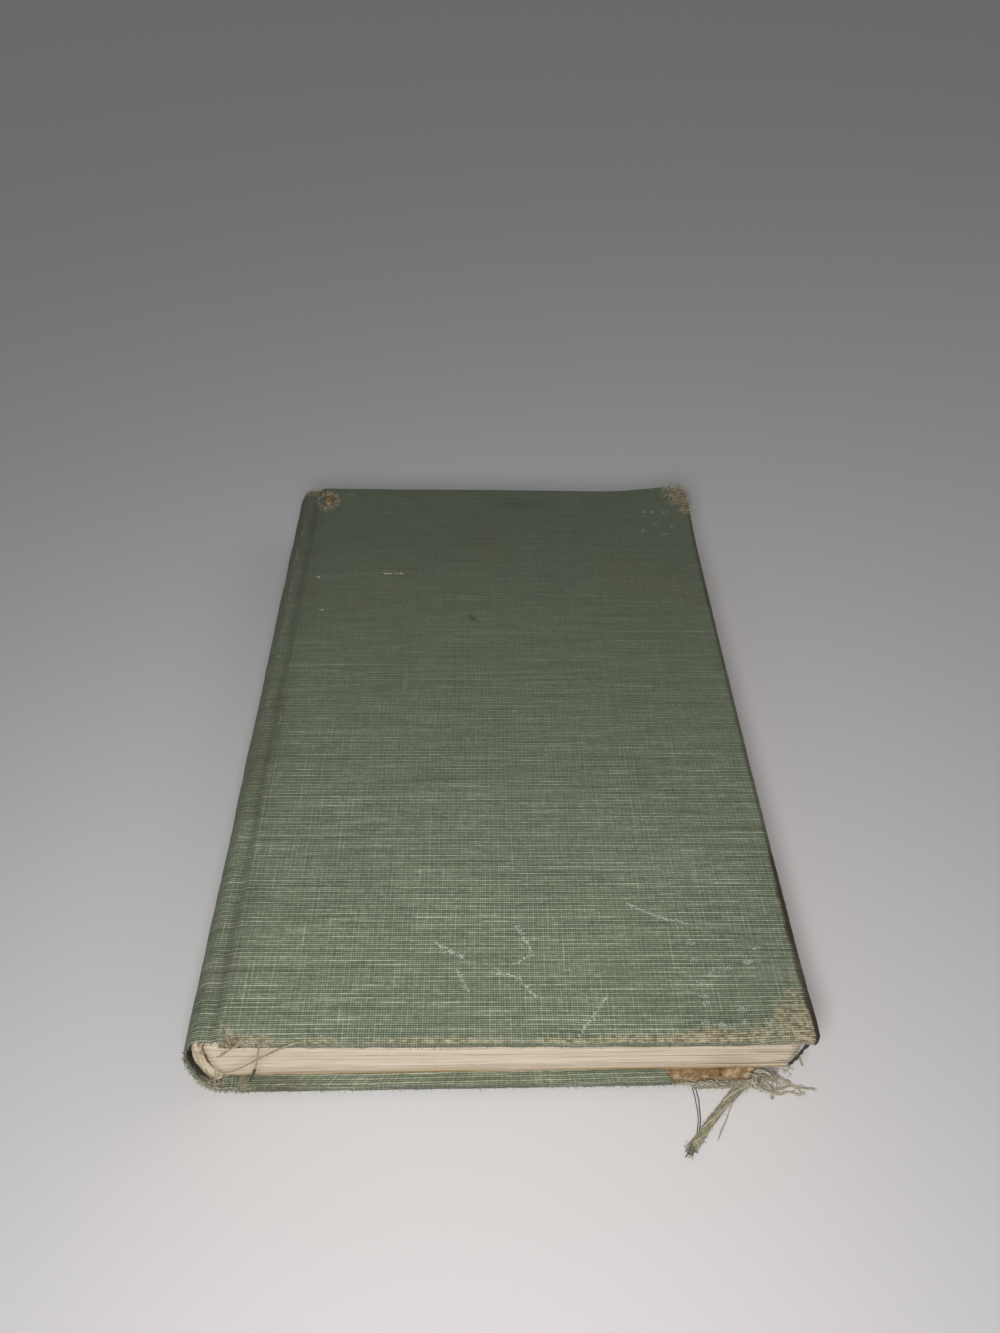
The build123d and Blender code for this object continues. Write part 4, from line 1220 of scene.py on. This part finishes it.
# A thread that hangs from the front cover's tail corner, and its branch. The dark thread is thick and nearly
# black:
# partly a real thread and partly painted shadow down the pages' fore-edge corner.
add_route("fore_corner_thread_and_shadow", "front_cover", dark_thread, [
    [(61.6, -97.0, 19.0), (60.9, -96.9, 14.8), (60.4, -96.9, 11.2), (59.9, -96.8, 8.2), (59.3, -96.7, 6.0)],
], 0.22, 2, 0.1, 229)
add_route("fore_corner_branch", "front_cover", undyed_thread, [
    [(60.4, -96.9, 11.6), (61.0, -97.0, 9.8), (61.7, -97.0, 8.0), (62.3, -97.0, 6.2)],
], 0.14, 2, 0.1, 231)

# Threads of the back cover that lie on the table
add_route("dark_pair", "back_cover", dark_thread,
          [[(38, -97.4, 1.8), (38.3, -98.8, 0.8), (38.7, -101.5, 0.25), (38.8, -105, 0.25),
            (37.7, -110, 0.3)], [(38.7, -97.4, 1.5), (39.1, -99.2, 0.6), (39.4, -102.0, 0.25),
                                 (39.2, -105.6, 0.25), (38.2, -109.6, 0.3)]], 0.13, 1, 0.12, 233)
add_route("fore_threads", "back_cover", pale_thread, [
    [(49.3, -97.8, 1.5), (52.0, -99.2, 0.7), (55.6, -99.7, 0.3), (59.5, -99.0, 0.3), (62.5, -99.1, 0.25),
     (66.0, -100.0, 0.3)],
    [(56.4, -95.9, 1.8), (58.2, -97.2, 1.0), (60.4, -98.2, 0.4), (61.8, -99.6, 0.3), (63.2, -100.9, 0.3)],
    [(51.0, -97.6, 1.6), (53.6, -99.6, 0.8), (57.2, -100.4, 0.3), (60.4, -100.2, 0.3), (62.2, -101.2, 0.25)],
    [(52.0, -96.6, 2.6), (54.6, -96.6, 3.0), (56.0, -97.6, 2.0), (57.6, -97.2, 1.0), (59.8, -98.9, 0.4)],
    [(55.0, -98.4, 1.0), (55.7, -99.4, 0.8), (55.9, -100.8, 0.3), (55.6, -101.8, 0.3)],
], 0.16, 3, 0.4, 235)
add_route("torn_edge_threads", "back_cover", pale_thread, [
    [(33.5 + 17 * a, -98.3 - 0.3 * c, 0.4 + 1.7 * b),
     (36.5 + 17 * a, -98.6 - 0.5 * b, 0.3 + 1.5 * c),
     (40.5 + 15 * a, -98.8 - 0.6 * c, 0.25 + 1.2 * b * c),
     (44 + 13.5 * a, -98.5 - 0.7 * a, 0.2 + 0.9 * a * b)]
    for a, b, c in scatter(30, 0, 1, 239)
], 0.10, 1, 0.5, 240)
add_route("strip_side_thread", "back_cover", pale_thread, [
    [(48.4, -99.8, 0.5), (47.3, -101.9, 0.3), (44.6, -106.2, 0.25), (42.2, -110.6, 0.25)],
], 0.12, 2, 0.3, 237)


def add_strip():
    """The frayed strip: a flat bundle of strands that winds about its route, with ends that fan out."""
    rng = np.random.default_rng(241)
    steps, count = 70, 30
    route = [(49.6, -96.6, 1.9), (49.4, -98.0, 1.2), (48.3, -99.8, 0.75), (45.0, -102.9, 0.65),
             (41.3, -106.6, 0.65), (38.3, -110.0, 0.65), (36.3, -112.2, 0.6)]
    middle = curve_through(route, steps)
    t = np.linspace(0, 1, steps)
    along = np.gradient(middle, axis=0)
    side = np.stack([-along[:, 1], along[:, 0], 0 * t], 1)
    side /= np.linalg.norm(side, axis=1, keepdims=True)
    wide = 1.0 - 0.25 * ease((t - 0.2) / 0.4) + 0.2 * noise(t * 9, 0 * t, 242)
    wide = wide * (1 + 0.35 * ease((t - 0.88) / 0.12))
    ply = np.arange(count)
    layer = np.where(ply < 20, 1.0, 0.45)
    turn = 2 * pi * ply[:, None] / 20 + 9.0 * t[None] + 0.3 * noise(t[None] * 7, ply[:, None] * 1.7, 243)
    across = np.cos(turn) * wide * layer[:, None] + 0.06 * noise(t[None] * 20, ply[:, None] * 2.3, 244)
    above = np.sin(turn) * 0.38 * layer[:, None] + 0.04 * noise(t[None] * 24, ply[:, None] * 3.1, 245)
    paths = middle[None] + side[None] * across[..., None] + np.array([0, 0, 1.0]) * above[..., None]
    radii = rng.uniform(0.13, 0.20, count)
    strands = add_threads("frayed_strip_strands", "back_cover", strip_thread, paths, radii, sides=5)
    # Crossing threads wind round the bundle, and the rest is fuzz
    fine = np.linspace(0.02, 0.97, 210)
    centre = np.stack([np.interp(fine, t, middle[:, k]) for k in range(3)], 1)
    aside = np.stack([np.interp(fine, t, side[:, k]) for k in range(3)], 1)
    winding = 9 * fine + 0.35 * noise(fine * 9, 0 * fine, 247)
    turn = 2 * pi * np.arange(7)[:, None] / 7 - 2 * pi * winding[None]
    reach = (np.interp(fine, t, wide) * 1.04)[None, :, None]
    across, above = np.cos(turn)[..., None] * reach, 0.43 * np.sin(turn)[..., None]
    crossing = centre[None] + aside[None] * across + [0, 0, 1] * above
    radii = rng.uniform(0.09, 0.15, 7)
    add_threads("frayed_strip_wefts", "back_cover", strip_thread, crossing, radii, sides=4)
    spot = rng.integers(2, steps - 1, 420)
    roots = middle[spot] + side[spot] * rng.uniform(-1, 1, (420, 1)) * wide[spot][:, None] + [0, 0, 0.3]
    fuzz("frayed_strip_fuzz", "back_cover", strip_thread, roots, (0, 0, 0.1), 0.8, (0.4, 1.3), (0.03, 0.06),
         1.3, 246)
    tip = middle[-3:][rng.integers(0, 3, 90)] + rng.normal(0, 0.35, (90, 3)) * [1, 1, 0.3]
    fuzz("frayed_strip_tip", "back_cover", dark_thread, tip[:24], (-0.6, -0.3, 0.1), 0.6, (0.8, 2.0),
         (0.05, 0.09), 1.3, 248)
    fuzz("frayed_strip_end", "back_cover", strip_thread, tip, (-0.6, -0.4, 0.1), 0.6, (0.6, 1.8),
         (0.05, 0.09), 1.3, 250)
    return strands


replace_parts(add_strip(), "frayed_strip")


# ---------------------------------------------------------------- floor, light and camera


def add_floor():
    """A flat sheet of 6 m by 6 m, a twentieth of a millimetre below the book."""
    reach, down = 3000.0, -0.05
    points = [(-reach, -reach, down), (reach, -reach, down), (reach, reach, down), (-reach, reach, down)]
    board = make_material("floor", floor_surface)
    return add_mesh("floor", points, np.array([[0, 1, 2, 3]]), board, sharp=True)


add_floor()


def add_light(name, place, aim, size, power, colour):
    """A square soft light, turned to a point. Places and size are in millimetres, and power is in watts."""
    light = bpy.data.lights.new(name, "AREA")
    light.shape = "SQUARE"
    light.size, light.energy, light.color = size * MM, power, linear(colour)[:3]
    lamp = bpy.data.objects.new(name, light)
    bpy.context.scene.collection.objects.link(lamp)
    lamp.location = Vector(place) * MM
    lamp.rotation_mode = "QUATERNION"
    lamp.rotation_quaternion = (Vector(aim) - Vector(place)).to_track_quat("-Z", "Y")
    return lamp


add_light("key", (-20, -235, 232), (-10, -50, 0), 80, 0.56, "#fffdfb")
add_light("side", (420, 60, 420), (0, 0, 0), 260, 0.16, "#fffaf4")

world = bpy.data.worlds.new("studio")
world.use_nodes = True
world.node_tree.nodes["Background"].inputs["Color"].default_value = linear("#eceef0")
world.node_tree.nodes["Background"].inputs["Strength"].default_value = 0.22
scene = bpy.context.scene
scene.world = world
scene.view_settings.view_transform = "Standard"


def add_camera():
    """A view from above the tail, looking down at about 45 degrees."""
    pitch, yaw, roll = radians(44.79), radians(0.49), radians(0.40)
    forward = Vector((sin(yaw) * cos(pitch), cos(yaw) * cos(pitch), -sin(pitch)))
    level_right = Vector((cos(yaw), -sin(yaw), 0))
    level_down = forward.cross(level_right)
    right = level_right * cos(roll) + level_down * sin(roll)
    down = level_down * cos(roll) - level_right * sin(roll)
    camera = bpy.data.objects.new("camera", bpy.data.cameras.new("camera"))
    scene.collection.objects.link(camera)
    turn = Matrix((right, -down, -forward)).transposed().to_4x4()
    camera.matrix_world = Matrix.Translation(Vector((-4.55, -190.1, 223.9)) * MM) @ turn
    camera.data.sensor_width, camera.data.lens = 36.0, 26.95
    camera.data.clip_start, camera.data.clip_end = 0.01, 20.0
    return camera


scene.camera = add_camera()

write_size()
